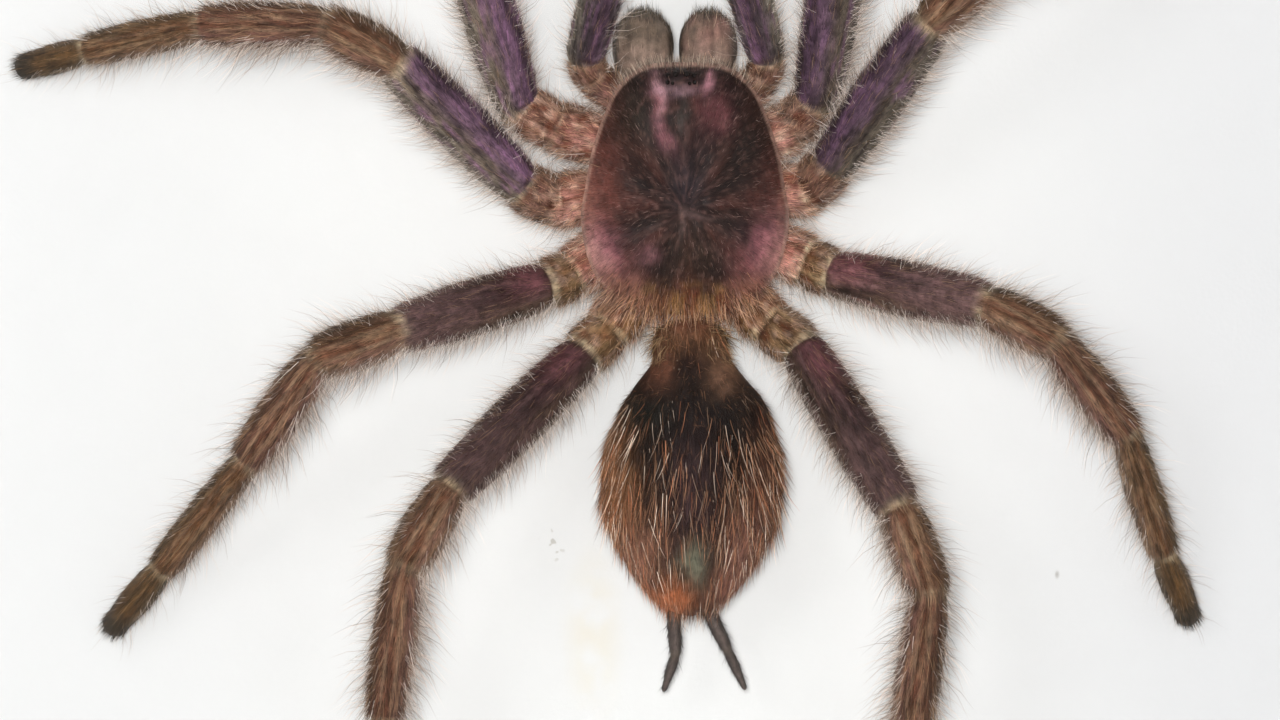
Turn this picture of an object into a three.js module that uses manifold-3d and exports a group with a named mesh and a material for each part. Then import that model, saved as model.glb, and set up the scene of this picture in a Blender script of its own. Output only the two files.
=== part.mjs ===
// Framed tarantula specimen: a dried male tarantula laid on a white board, behind glass in a plain
// wooden shadow box. Millimetres, +Z up. The glass faces -Y, and the origin is at floor level, below
// the middle of the box.
import * as THREE from 'three';
import { mergeVertices } from 'three/addons/utils/BufferGeometryUtils.js';
import Module from 'manifold-3d';

const wasm = await Module();
wasm.setup();

// Shadow box
const FRAME_SIDE = 225;
const FRAME_DEPTH = 45;
const FACE_WIDTH = 16;
const LIP_COVER = 6;
const LIP_THICKNESS = 4.5;
const EDGE_ROUND = 1.6;
const EDGE_FACETS = 4;
const MITRE_GAP = 0.1;
const PANE_SIDE = 203;
const GLASS_THICKNESS = 2;
const SPACER_DEPTH = 28;
const SPACER_THICKNESS = 4;
const BOARD_THICKNESS = 4.5;
const PANEL_THICKNESS = 3;
const LAYER_GAP = 0.1;

// Fittings on the back
const BUMPER_RADIUS = 4.5;
const BUMPER_HEIGHT = 3;
const BUMPER_INSET = 22;
const BUMPER_SHOULDER = { radius: 3.9, height: 2.7 };
const BUMPER_WALL = 1.35;
const BUMPER_FLAT = 3.2;
const BUMPER_SIDES = 14;
const POINT_LENGTH = 13;
const POINT_WIDTH = 6;
const POINT_THICKNESS = 0.5;
const POINT_SHOULDER = 7.2;
const POINT_TIP_WIDTH = 2.4;
const POINT_SPREAD = 58;
const HANGER_LENGTH = 42;
const HANGER_WIDTH = 8.5;
const HANGER_THICKNESS = 0.8;
const HANGER_BOW = 1.2;
const HANGER_TEETH = 11;
const HANGER_TOOTH = 1.4;
const HANGER_TOOTHED = 26;
const NAIL_RADIUS = 1.3;
const NAIL_CROWN = 1.0;
const NAIL_HEAD = 0.7;
const NAIL_INSET = 3.4;
const NAIL_SIDES = 12;

// Specimen. Its middle is the middle of the carapace, measured from the middle of the frame.
const BODY_ACROSS = 3.5;
const BODY_ALONG = 4.5;
const SEAT_GAP = 0.3;
const NEARLY_ZERO = 1e-4;
const LIMB_SIDES = 10;
const LIMB_FLATNESS = 0.94;
const JOINT_BLEND = 0.9;
const SWELL_POWER = 0.4;
const TIP_TURNS = [0.2, 0.36];

// Carapace: half of its outline from the front round to the rear, as [half width, along]
const CARAPACE_HALF = [
  [0, 12.2], [4.0, 11.9], [6.7, 9.9], [8.1, 7.0], [9.3, 3.4], [10.0, -0.4],
  [10.4, -3.2], [9.9, -6.7], [8.7, -9.5], [6.6, -11.5], [3.4, -12.6], [0, -12.8],
];
const CARAPACE_SIDES = 30;
const CARAPACE_RINGS = 14;
const STERNUM_HEIGHT = 2.0;
const RIM_HEIGHT = 6.8;
const FRONT_LIFT = 1.6;
const LIFT_POWER = 3;
const BELOW_POWER = 3.5;
const CROWN_HEIGHT = 10.8;
const DOME_POWER = 3.2;
const FRONT_STEEPNESS = 4;
const HEAD = { along: 5.5, length: 5.0, width: 4.6, rise: 2.0 };
const FOVEA_ALONG = -2.6;
const FOVEA_DEPTH = 1.1;
const FOVEA_WIDTH = 1.5;
const FOVEA_LENGTH = 1.1;
const FURROWS = 8;
const FURROW_DEPTH = 0.3;
const FURROW_END = 0.91;
const EYE_MOUND = { across: -0.4, along: 10.2, height: 9.9, width: 2.0, length: 1.4, rise: 1.5 };
const MOUND_SIDES = 10;
const MOUND_RINGS = 7;

// Leg segments from the body out: largest radius, how far both ends narrow, and rings of facets
const LEG_SEGMENTS = [
  { radius: 2.74, neck: 0.92, rings: 2 },
  { radius: 2.6, neck: 0.88, rings: 2 },
  { radius: 2.75, neck: 0.74, rings: 6 },
  { radius: 2.45, neck: 0.74, rings: 4 },
  { radius: 2.25, neck: 0.68, rings: 5 },
  { radius: 1.85, neck: 0.7, rings: 4 },
  { radius: 1.6, neck: 0.74, rings: 4 },
];

// Each leg's joints as [across, along, height above the board]: inside the thorax, coxa, trochanter,
// knee, end of patella, of tibia, of metatarsus and of tarsus
const LEGS = {
  leg_1_left: [
    [-6.0, 4.0, 3.8], [-13.0, 5.7, 4.4], [-16.7, 7.8, 5.6], [-22.2, 26.0, 15.0],
    [-23.8, 34.9, 16.4], [-26.7, 50.0, 11.0], [-29.8, 63.3, 4.2], [-31.6, 70.8, 1.9],
  ],
  leg_2_left: [
    [-7.0, -0.6, 3.8], [-13.2, -1.8, 4.4], [-16.4, 0.0, 5.6], [-28.6, 12.1, 15.0],
    [-35.6, 15.8, 16.2], [-48.2, 15.9, 10.2], [-60.0, 13.4, 4.2], [-67.2, 11.6, 1.9],
  ],
  leg_3_left: [
    [-6.5, -5.2, 3.8], [-11.2, -8.9, 4.4], [-13.9, -10.0, 5.6], [-28.5, -14.5, 14.2],
    [-36.6, -17.4, 15.4], [-43.7, -27.6, 10.0], [-52.4, -38.5, 4.2], [-57.9, -45.0, 1.9],
  ],
  leg_4_left: [
    [-3.2, -8.4, 3.8], [-7.5, -14.4, 4.4], [-10.1, -16.9, 5.6], [-23.4, -30.2, 14.6],
    [-27.9, -37.9, 15.8], [-30.0, -53.1, 11.0], [-31.0, -71.6, 4.2], [-31.6, -80.2, 1.9],
  ],
  leg_1_right: [
    [6.0, 4.0, 3.8], [10.8, 5.8, 4.4], [13.1, 8.1, 5.6], [16.1, 26.6, 15.0],
    [17.0, 35.7, 16.4], [19.3, 50.9, 11.0], [22.4, 64.2, 4.2], [24.4, 71.6, 1.9],
  ],
  leg_2_right: [
    [7.0, -0.6, 3.8], [12.2, -0.6, 4.4], [14.6, 1.9, 5.6], [24.2, 15.8, 15.0],
    [30.0, 21.2, 16.2], [41.8, 26.6, 10.2], [53.5, 29.6, 4.2], [60.8, 30.8, 1.9],
  ],
  leg_3_right: [
    [6.5, -5.2, 3.8], [12.2, -7.7, 4.4], [14.7, -8.9, 5.6], [29.9, -12.0, 14.2],
    [36.7, -15.5, 15.4], [43.9, -24.7, 10.0], [47.9, -37.0, 4.2], [50.8, -44.2, 1.9],
  ],
  leg_4_right: [
    [3.2, -8.4, 3.8], [8.2, -13.8, 4.4], [11.6, -16.2, 5.6], [21.2, -32.2, 14.6],
    [24.3, -40.5, 15.8], [22.4, -55.2, 11.0], [22.8, -73.6, 4.2], [23.4, -81.8, 1.9],
  ],
};

const PALP_SEGMENTS = [
  { radius: 2.0, neck: 0.84, rings: 2 },
  { radius: 1.95, neck: 0.86, rings: 2 },
  { radius: 2.15, neck: 0.8, rings: 5 },
  { radius: 2.2, neck: 0.74, rings: 3 },
  { radius: 2.35, neck: 0.7, rings: 5 },
  { radius: 1.85, neck: 0.74, rings: 4 },
];

// Each pedipalp's joints: inside the thorax, coxa, trochanter, femur, patella, tibia and bulb
const PALPS = {
  pedipalp_left: [
    [-5.0, 7.9, 5.2], [-9.1, 10.5, 6.1], [-10.1, 12.4, 7.2], [-7.4, 22.6, 13.2],
    [-5.4, 28.2, 13.0], [-4.6, 36.4, 7.4], [-4.9, 40.4, 3.4],
  ],
  pedipalp_right: [
    [5.0, 7.9, 5.2], [7.6, 10.5, 6.3], [8.3, 12.4, 7.2], [5.3, 22.8, 13.2],
    [3.9, 28.4, 13.0], [3.8, 36.6, 7.4], [4.2, 40.6, 3.4],
  ],
};

// Jaws: middle, largest radius, and the fang folded back under each
const CHELICERAE = {
  chelicera_left: { across: -4.2, radius: 3.12 },
  chelicera_right: { across: 2.3, radius: 2.98 },
};
const CHELICERA_ROOT = [9.6, 4.7];
const CHELICERA_BEND = [14.0, 4.7];
const CHELICERA_TIP = [17.1, 3.4];
const CHELICERA_WIDTHS = [
  [0, 0], [0.01, 0.7], [0.25, 0.92], [0.45, 1], [0.62, 1], [0.78, 0.88], [0.91, 0.62], [0.98, 0.3],
  [1, 0],
];
const CHELICERA_SIDES = 12;
const CHELICERA_FLATNESS = 1.05;
const FANG_LINE = [[16.2, 2.8], [15.6, 1.2], [12.6, 0.75]];
const FANG_WIDTHS = [[0, 0], [0.2, 0.75], [2.2, 0.6], [3.6, 0.34]];
const FANG_SIDES = 8;

// Abdomen: its middle line, and its half width at each distance along that line
const ABDOMEN_LINE = [
  [0.2, -13.2, 5.4], [0.6, -17.6, 6.0], [0.85, -24.0, 6.8], [0.65, -31.5, 7.1], [0.4, -43.4, 6.2],
];
const ABDOMEN_WIDTHS = [
  [0, 0], [0.05, 1.8], [0.8, 3.1], [1.8, 3.7], [4.4, 3.9], [6.4, 5.5], [9.2, 7.6], [12.8, 8.9],
  [18.2, 9.3], [20.4, 8.8], [22.8, 7.6], [26.2, 5.7], [28.4, 3.8], [29.6, 2.4], [30.2, 0],
];
const ABDOMEN_SIDES = 20;
const ABDOMEN_FLATNESS = 0.72;

const SPINNERETS = {
  spinneret_left: [[-1.2, -41.6, 6.2], [-0.95, -46.9, 5.4], [-2.2, -50.8, 3.6]],
  spinneret_right: [[1.9, -41.6, 6.2], [4.2, -46.4, 5.4], [6.1, -50.6, 3.6]],
};
const SPINNERET_SEGMENTS = [
  { radius: 0.8, neck: 0.7, rings: 4 },
  { radius: 0.66, neck: 0.66, rings: 4 },
];

// Where the layers of the box lie, from the glass side to the wall side
const FRONT = -(FRAME_DEPTH + BUMPER_HEIGHT) / 2;
const RAIL_BACK = FRONT + FRAME_DEPTH;
const GLASS_FRONT = FRONT + LIP_THICKNESS + LAYER_GAP;
const SPACER_FRONT = GLASS_FRONT + GLASS_THICKNESS + LAYER_GAP;
const BOARD_FRONT = SPACER_FRONT + SPACER_DEPTH + LAYER_GAP;
const PANEL_FRONT = BOARD_FRONT + BOARD_THICKNESS + LAYER_GAP;
const PANEL_BACK = PANEL_FRONT + PANEL_THICKNESS;
const MIDDLE = FRAME_SIDE / 2;
const BACK_WIDTH = FACE_WIDTH - LIP_COVER;

const finish = (color, roughness, metalness = 0) =>
  new THREE.MeshStandardMaterial({ color, roughness, metalness });
const WOOD = finish(0x1d1916, 0.55);
const GLASS = new THREE.MeshStandardMaterial({
  color: 0xdfeae6, roughness: 0.05, metalness: 0, transparent: true, opacity: 0.25,
});
const WHITE_BOARD = finish(0xf4f3ef, 0.9);
const HARDBOARD = finish(0x6f4a2c, 0.85);
const STEEL = finish(0xb5b6b4, 0.35, 1);
const SOFT_DISC = finish(0x2a2a2c, 0.8);
const SHELL = finish(0x4b2f2a, 0.7);
const JAW = finish(0x8d7867, 0.75);
const FEELER = finish(0x55405a, 0.8);
const LEG = finish(0x5d4334, 0.85);
const BELLY = finish(0x4a2c1e, 0.9);
const SPIGOT = finish(0x3b322c, 0.85);

const group = new THREE.Group();

// Turns the faces of a closed shape outwards where they point in
function facingOut(geometry) {
  const position = geometry.attributes.position;
  const index = geometry.index.array;
  const [a, b, c] = [new THREE.Vector3(), new THREE.Vector3(), new THREE.Vector3()];
  let volume = 0;
  for (let i = 0; i < index.length; i += 3) {
    a.fromBufferAttribute(position, index[i]);
    b.fromBufferAttribute(position, index[i + 1]);
    c.fromBufferAttribute(position, index[i + 2]);
    volume += a.dot(b.cross(c));
  }
  if (volume < 0) {
    for (let i = 0; i < index.length; i += 3) {
      [index[i + 1], index[i + 2]] = [index[i + 2], index[i + 1]];
    }
  }
  return geometry;
}

// Leaves only merged positions, so that the shape is one closed body
function closed(geometry) {
  geometry.deleteAttribute('normal');
  geometry.deleteAttribute('uv');
  return facingOut(mergeVertices(geometry, NEARLY_ZERO));
}

function reshape(geometry, move) {
  const position = geometry.attributes.position;
  const point = new THREE.Vector3();
  for (let i = 0; i < position.count; i += 1) {
    move(point.fromBufferAttribute(position, i));
    position.setXYZ(i, point.x, point.y, point.z);
  }
  return geometry;
}

function solid(geometry) {
  return new wasm.Manifold(new wasm.Mesh({
    numProp: 3,
    vertProperties: new Float32Array(geometry.attributes.position.array),
    triVerts: new Uint32Array(geometry.index.array),
  }));
}

function surface(manifold) {
  const { vertProperties, triVerts } = manifold.getMesh();
  const geometry = new THREE.BufferGeometry();
  geometry.setAttribute('position', new THREE.BufferAttribute(new Float32Array(vertProperties), 3));
  geometry.setIndex(new THREE.BufferAttribute(new Uint32Array(triVerts), 1));
  return geometry;
}

function add(name, geometry, material) {
  const mesh = new THREE.Mesh(geometry, material);
  mesh.name = name;
  group.add(mesh);
  return mesh;
}

// A point of the specimen in the frame of the box
function place([across, along, height]) {
  return new THREE.Vector3(BODY_ACROSS + across, BOARD_FRONT - height, MIDDLE + BODY_ALONG + along);
}

// A plain box between two depths
function layer(name, width, height, front, thickness, material, across = 0, up = MIDDLE) {
  const mesh = add(name, new THREE.BoxGeometry(width, thickness, height), material);
  mesh.position.set(across, front + thickness / 2, up);
}

// Moulding: an L section with rounded front edges, one length for each side, cut at 45 degrees
function mouldingSection() {
  const section = new THREE.Shape();
  section.moveTo(0, EDGE_ROUND);
  section.quadraticCurveTo(0, 0, EDGE_ROUND, 0);
  section.lineTo(FACE_WIDTH - EDGE_ROUND, 0);
  section.quadraticCurveTo(FACE_WIDTH, 0, FACE_WIDTH, EDGE_ROUND);
  section.lineTo(FACE_WIDTH, LIP_THICKNESS);
  section.lineTo(BACK_WIDTH, LIP_THICKNESS);
  section.lineTo(BACK_WIDTH, FRAME_DEPTH);
  section.lineTo(0, FRAME_DEPTH);
  section.closePath();
  return section;
}

// A point at one place along a side, counted from the middle, and one distance in from its edge
const SIDES = {
  top: (along, inset) => [along, FRAME_SIDE - inset],
  right: (along, inset) => [MIDDLE - inset, MIDDLE - along],
  bottom: (along, inset) => [-along, inset],
  left: (along, inset) => [inset - MIDDLE, MIDDLE + along],
};

function frameRail(side) {
  const length = new THREE.ExtrudeGeometry(mouldingSection(), {
    depth: 1, steps: 1, bevelEnabled: false, curveSegments: EDGE_FACETS,
  });
  const bend = (point) => {
    const end = point.z > 0.5 ? 1 : -1;
    const [x, z] = SIDES[side](end * (MIDDLE - point.x - MITRE_GAP), point.x);
    point.set(x, FRONT + point.y, z);
  };
  add(`frame_rail_${side}`, closed(reshape(length, bend)), WOOD);
}

function spacers() {
  const reach = PANE_SIDE / 2 - SPACER_THICKNESS / 2;
  const short = PANE_SIDE - 2 * (SPACER_THICKNESS + LAYER_GAP);
  for (const [side, sign] of [['top', 1], ['bottom', -1]]) {
    layer(`spacer_${side}`, PANE_SIDE, SPACER_THICKNESS, SPACER_FRONT, SPACER_DEPTH,
      WHITE_BOARD, 0, MIDDLE + sign * reach);
  }
  for (const [side, sign] of [['right', 1], ['left', -1]]) {
    layer(`spacer_${side}`, SPACER_THICKNESS, short, SPACER_FRONT, SPACER_DEPTH,
      WHITE_BOARD, sign * reach);
  }
}

// Flat steel points: two on each side, from the rail's inner wall over the panel
function panelPoints() {
  const outline = new THREE.Shape();
  outline.moveTo(-POINT_WIDTH / 2, 0);
  outline.lineTo(POINT_WIDTH / 2, 0);
  outline.lineTo(POINT_WIDTH / 2, POINT_SHOULDER);
  outline.lineTo(POINT_TIP_WIDTH / 2, POINT_LENGTH);
  outline.lineTo(-POINT_TIP_WIDTH / 2, POINT_LENGTH);
  outline.lineTo(-POINT_WIDTH / 2, POINT_SHOULDER);
  outline.closePath();
  let number = 1;
  for (const side of Object.keys(SIDES)) {
    for (const spread of [-POINT_SPREAD, POINT_SPREAD]) {
      const strip = new THREE.ExtrudeGeometry(outline, { depth: POINT_THICKNESS, bevelEnabled: false });
      reshape(strip, (point) => {
        const [x, z] = SIDES[side](spread + point.x, BACK_WIDTH + LAYER_GAP + point.y);
        point.set(x, PANEL_BACK + LAYER_GAP + point.z, z);
      });
      add(`panel_point_${number}`, closed(strip), STEEL);
      number += 1;
    }
  }
}

// Sawtooth hanger: a strip with teeth along its lower edge, flat at both nails and bowed between
function hanger() {
  const outline = new THREE.Shape();
  const half = HANGER_LENGTH / 2;
  const step = HANGER_TOOTHED / HANGER_TEETH;
  outline.moveTo(-half, 0);
  outline.lineTo(half, 0);
  outline.lineTo(half, -HANGER_WIDTH);
  for (let tooth = 0; tooth < HANGER_TEETH; tooth += 1) {
    const right = HANGER_TOOTHED / 2 - tooth * step;
    outline.lineTo(right, -HANGER_WIDTH);
    outline.lineTo(right - step / 2, -HANGER_WIDTH + HANGER_TOOTH);
  }
  outline.lineTo(-HANGER_TOOTHED / 2, -HANGER_WIDTH);
  outline.lineTo(-half, -HANGER_WIDTH);
  outline.closePath();
  const strip = new THREE.ExtrudeGeometry(outline, { depth: HANGER_THICKNESS, bevelEnabled: false });
  const top = FRAME_SIDE - (BACK_WIDTH - HANGER_WIDTH) / 2;
  reshape(strip, (point) => {
    const bow = HANGER_BOW * Math.max(0, 1 - (2 * point.x / HANGER_TOOTHED) ** 2);
    point.set(point.x, RAIL_BACK + LAYER_GAP + point.z + bow, top + point.y);
  });
  add('hanger', closed(strip), STEEL);
  for (const [side, sign] of [['left', -1], ['right', 1]]) {
    const nail = add(`hanger_nail_${side}`,
      new THREE.CylinderGeometry(NAIL_CROWN, NAIL_RADIUS, NAIL_HEAD, NAIL_SIDES), STEEL);
    nail.position.set(sign * (half - NAIL_INSET),
      RAIL_BACK + 2 * LAYER_GAP + HANGER_THICKNESS + NAIL_HEAD / 2, top - HANGER_WIDTH / 2);
  }
}

function bumpers() {
  const profile = [
    [0, 0], [BUMPER_RADIUS, 0], [BUMPER_RADIUS, BUMPER_WALL],
    [BUMPER_SHOULDER.radius, BUMPER_SHOULDER.height], [BUMPER_FLAT, BUMPER_HEIGHT], [0, BUMPER_HEIGHT],
  ].map(([radius, height]) => new THREE.Vector2(radius, height));
  for (const [side, sign] of [['left', -1], ['right', 1]]) {
    const disc = add(`bumper_${side}`, closed(new THREE.LatheGeometry(profile, BUMPER_SIDES)), SOFT_DISC);
    disc.position.set(sign * (MIDDLE - BUMPER_INSET), RAIL_BACK, BACK_WIDTH / 2);
  }
}

// Line through joints, read by the distance from its start
function jointedLine(points) {
  const spots = points.map(place);
  const reach = [0];
  for (let i = 1; i < spots.length; i += 1) {
    reach.push(reach[i - 1] + spots[i].distanceTo(spots[i - 1]));
  }
  const at = (distance) => {
    let part = 1;
    while (part < spots.length - 1 && distance > reach[part]) {
      part += 1;
    }
    const share = (distance - reach[part - 1]) / (reach[part] - reach[part - 1]);
    return spots[part - 1].clone().lerp(spots[part], share);
  };
  return { at, reach, length: reach[reach.length - 1] };
}

// Half widths of a jointed limb: each segment swells between the necks at its two joints, and the
// last one ends in a round tip
function limbWidths(line, segments) {
  const widths = [[0, 0]];
  const tip = segments[segments.length - 1].radius;
  segments.forEach(({ radius, neck, rings }, part) => {
    const start = line.reach[part];
    const isLast = part === segments.length - 1;
    const length = line.reach[part + 1] - start - (isLast ? tip : 0);
    for (let ring = 0; ring < rings; ring += 1) {
      const share = (1 - Math.cos(Math.PI * (ring + 0.5) / rings)) / 2;
      const swell = isLast && share > 0.5 ? 1 : Math.sin(Math.PI * share) ** SWELL_POWER;
      widths.push([start + share * length, radius * (neck + (1 - neck) * swell)]);
    }
  });
  for (const turn of TIP_TURNS) {
    const angle = Math.PI * turn;
    widths.push([line.length - tip * (1 - Math.sin(angle)), tip * Math.cos(angle)]);
  }
  widths.push([line.length, 0]);
  return widths;
}

// A round body along a line: a lathe of its half widths, bent along the line and flattened away from
// the board
function alongLine(line, widths, sides, flatness, grow = 0) {
  const profile = widths.map(([distance, width]) => new THREE.Vector2(width && width + grow, distance));
  const outward = new THREE.Vector3(0, -1, 0);
  return closed(reshape(new THREE.LatheGeometry(profile, sides), (point) => {
    const middle = line.at(point.y);
    const ahead = line.at(Math.min(point.y + JOINT_BLEND, line.length));
    const behind = line.at(Math.max(point.y - JOINT_BLEND, 0));
    const along = ahead.sub(behind).normalize();
    const across = new THREE.Vector3().crossVectors(along, outward).normalize();
    const up = new THREE.Vector3().crossVectors(across, along);
    middle.addScaledVector(across, point.x).addScaledVector(up, point.z * flatness);
    point.copy(middle);
  }));
}

// Height above the board of the back of the carapace, or of the sternum below it. reach is 0 in the
// middle and 1 at the rim, and turn is 0 towards the front
function carapaceHeight(reach, turn, across, along, upper) {
  const rim = RIM_HEIGHT + FRONT_LIFT * Math.max(0, Math.cos(turn)) ** LIFT_POWER;
  if (!upper) {
    return STERNUM_HEIGHT + (rim - STERNUM_HEIGHT) * reach ** BELOW_POWER;
  }
  const dome = 1 - reach ** (DOME_POWER + FRONT_STEEPNESS * Math.max(0, Math.cos(turn)) ** 2);
  const head = Math.exp(-(((along - HEAD.along) / HEAD.length) ** 2) - (across / HEAD.width) ** 2);
  const furrow = Math.cos(turn * FURROWS) * Math.sin(Math.PI * Math.min(1, reach / FURROW_END)) ** 2;
  const pit = Math.exp(-((across / FOVEA_WIDTH) ** 2)
    - ((along - FOVEA_ALONG) / FOVEA_LENGTH) ** 2);
  return rim + (CROWN_HEIGHT - rim) * dome + HEAD.rise * head * dome
    + FURROW_DEPTH * furrow - FOVEA_DEPTH * pit;
}

function carapaceShape(grow) {
  const half = CARAPACE_HALF.map(([across, along]) => new THREE.Vector3(across, along, 0));
  const other = CARAPACE_HALF.slice(1, -1).reverse()
    .map(([across, along]) => new THREE.Vector3(-across, along, 0));
  const outline = new THREE.CatmullRomCurve3([...half, ...other], true);
  const ball = new THREE.SphereGeometry(1, CARAPACE_SIDES, CARAPACE_RINGS);
  return closed(reshape(ball, (point) => {
    // The ball's pole points towards the glass, so that its equator is the rim
    const reach = Math.min(1, Math.hypot(point.x, point.z));
    const turn = reach > NEARLY_ZERO ? Math.atan2(point.x, point.z) : 0;
    const edge = outline.getPointAt((turn / (2 * Math.PI) + 1) % 1);
    const out = reach + grow / edge.length();
    const across = edge.x * out;
    const along = FOVEA_ALONG + (edge.y - FOVEA_ALONG) * out;
    const upper = point.y > -NEARLY_ZERO;
    const height = carapaceHeight(reach, turn, across, along, upper);
    point.copy(place([reach > NEARLY_ZERO ? across : 0, reach > NEARLY_ZERO ? along : FOVEA_ALONG,
      height + (upper ? grow : -grow)]));
  }));
}

// Carapace with the mound of the eyes
function shield(grow) {
  const mound = new THREE.SphereGeometry(1, MOUND_SIDES, MOUND_RINGS);
  mound.scale(EYE_MOUND.width + grow, EYE_MOUND.rise + grow, EYE_MOUND.length + grow);
  const spot = place([EYE_MOUND.across, EYE_MOUND.along, EYE_MOUND.height]);
  mound.translate(spot.x, spot.y, spot.z);
  return solid(carapaceShape(grow)).add(solid(closed(mound)));
}

function abdomenShape(grow) {
  return alongLine(jointedLine(ABDOMEN_LINE), ABDOMEN_WIDTHS, ABDOMEN_SIDES, ABDOMEN_FLATNESS, grow);
}

// Limbs start inside the body that carries them and are cut back to its surface
function limbs(table, segments, carrier, material) {
  for (const [name, joints] of Object.entries(table)) {
    const line = jointedLine(joints);
    const limb = alongLine(line, limbWidths(line, segments), LIMB_SIDES, LIMB_FLATNESS);
    add(name, surface(solid(limb).subtract(carrier)), material);
  }
}

function jawShape({ across, radius }, grow) {
  const line = jointedLine([CHELICERA_ROOT, CHELICERA_BEND, CHELICERA_TIP].map((at) => [across, ...at]));
  const widths = CHELICERA_WIDTHS
    .map(([part, share]) => [part * line.length, share * radius]);
  return solid(alongLine(line, widths, CHELICERA_SIDES, CHELICERA_FLATNESS, grow));
}

function chelicera(name, jaw, carrier) {
  const fangLine = jointedLine(FANG_LINE.map((at) => [jaw.across, ...at]));
  const fang = alongLine(fangLine, [...FANG_WIDTHS, [fangLine.length, 0]], FANG_SIDES, 1);
  add(name, surface(jawShape(jaw, 0).add(solid(fang)).subtract(carrier)), JAW);
}

for (const side of Object.keys(SIDES)) {
  frameRail(side);
}
layer('glass_pane', PANE_SIDE, PANE_SIDE, GLASS_FRONT, GLASS_THICKNESS, GLASS);
spacers();
layer('mount_board', PANE_SIDE, PANE_SIDE, BOARD_FRONT, BOARD_THICKNESS, WHITE_BOARD);
layer('back_panel', PANE_SIDE, PANE_SIDE, PANEL_FRONT, PANEL_THICKNESS, HARDBOARD);
panelPoints();
hanger();
bumpers();

add('carapace', surface(shield(0)), SHELL);
add('abdomen', abdomenShape(0), BELLY);
const thorax = shield(SEAT_GAP);
let face = thorax;
for (const [name, jaw] of Object.entries(CHELICERAE)) {
  chelicera(name, jaw, thorax);
  face = face.add(jawShape(jaw, SEAT_GAP));
}
limbs(PALPS, PALP_SEGMENTS, face, FEELER);
limbs(LEGS, LEG_SEGMENTS, thorax, LEG);
limbs(SPINNERETS, SPINNERET_SEGMENTS, solid(abdomenShape(SEAT_GAP)), SPIGOT);

export default group;
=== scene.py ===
# %% [markdown]
# # A framed tarantula specimen
# The object is a dried tarantula laid on a white board behind glass, in a plain black shadow box. The box
# comes from the CAD frame and only gets its finishes here. The animal gets a skin and a coat of hair,
# because the photograph shows velvet, bristles and fringes that flat solids can't give.

# %% Load the frame
import math

import bpy
import numpy as np
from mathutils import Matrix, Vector, noise


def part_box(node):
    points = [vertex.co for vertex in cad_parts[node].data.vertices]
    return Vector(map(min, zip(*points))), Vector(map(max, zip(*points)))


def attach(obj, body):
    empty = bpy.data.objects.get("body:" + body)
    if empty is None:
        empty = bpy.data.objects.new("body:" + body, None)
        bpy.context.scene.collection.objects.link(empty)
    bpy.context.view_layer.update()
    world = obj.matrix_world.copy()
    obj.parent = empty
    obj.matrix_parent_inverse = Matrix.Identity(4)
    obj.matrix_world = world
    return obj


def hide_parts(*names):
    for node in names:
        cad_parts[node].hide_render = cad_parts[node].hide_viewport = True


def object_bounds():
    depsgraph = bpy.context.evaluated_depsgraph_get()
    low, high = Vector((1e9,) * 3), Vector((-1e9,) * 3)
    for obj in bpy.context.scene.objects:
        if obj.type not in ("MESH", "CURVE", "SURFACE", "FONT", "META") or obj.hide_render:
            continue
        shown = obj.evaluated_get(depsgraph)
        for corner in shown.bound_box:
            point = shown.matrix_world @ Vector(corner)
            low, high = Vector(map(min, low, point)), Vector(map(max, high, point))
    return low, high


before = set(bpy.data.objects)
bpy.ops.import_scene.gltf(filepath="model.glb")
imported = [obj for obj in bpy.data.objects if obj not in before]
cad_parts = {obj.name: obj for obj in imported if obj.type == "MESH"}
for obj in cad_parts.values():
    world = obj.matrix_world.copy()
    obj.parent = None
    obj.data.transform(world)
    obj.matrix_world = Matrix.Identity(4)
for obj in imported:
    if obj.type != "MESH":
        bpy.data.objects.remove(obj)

MM = 0.001
cad_low, cad_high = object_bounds()
print("nodes", len(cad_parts), "box", [round(v, 4) for v in (*cad_low, *cad_high)])

# %% [markdown]
# ## Where the specimen lies
# Every place on the animal is given in millimetres as across, along and height: across to the right and
# along towards its head, both from the middle of the carapace, and height above the board. The board's
# place is read from the CAD frame, so the animal always lies on it.

# %% Specimen's place
BODY_ACROSS = 3.5
BODY_ALONG = 4.5
board_low, board_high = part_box("mount_board")
BOARD_FRONT = board_low.y
MIDDLE = (board_low.z + board_high.z) / 2
OUTWARD = np.array([0.0, -1.0, 0.0])


def on_board(places):
    """Across, along and height in millimetres as points of the frame in metres."""
    across, along, height = np.moveaxis(np.asarray(places, float), -1, 0)
    return np.stack([
        (BODY_ACROSS + across) * MM,
        BOARD_FRONT - height * MM,
        MIDDLE + (BODY_ALONG + along) * MM,
    ], -1)


def from_board(points):
    """The same the other way round."""
    x, y, z = np.moveaxis(points, -1, 0)
    return x / MM - BODY_ACROSS, (z - MIDDLE) / MM - BODY_ALONG, (BOARD_FRONT - y) / MM


print("board front at", round(BOARD_FRONT, 4), "specimen's middle", on_board([0, 0, 0]).round(4))

# %% [markdown]
# ## Camera
# The picture was taken square on from far enough away that the raised knees don't shift outwards, so a very
# long lens stands far back. It frames only the middle of the box, as the photograph does, and the frame
# stays out of the picture. The place of the view's middle follows from the picture: ten pixels a millimetre.

# %% Camera
def put(name, data):
    """A new object in the scene."""
    made = bpy.data.objects.new(name, data)
    bpy.context.collection.objects.link(made)
    return made


VIEW_WIDTH = 128.0
VIEW_MIDDLE = (-4.5, -17.5)
LENS = 500.0
SENSOR = 36.0

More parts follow.
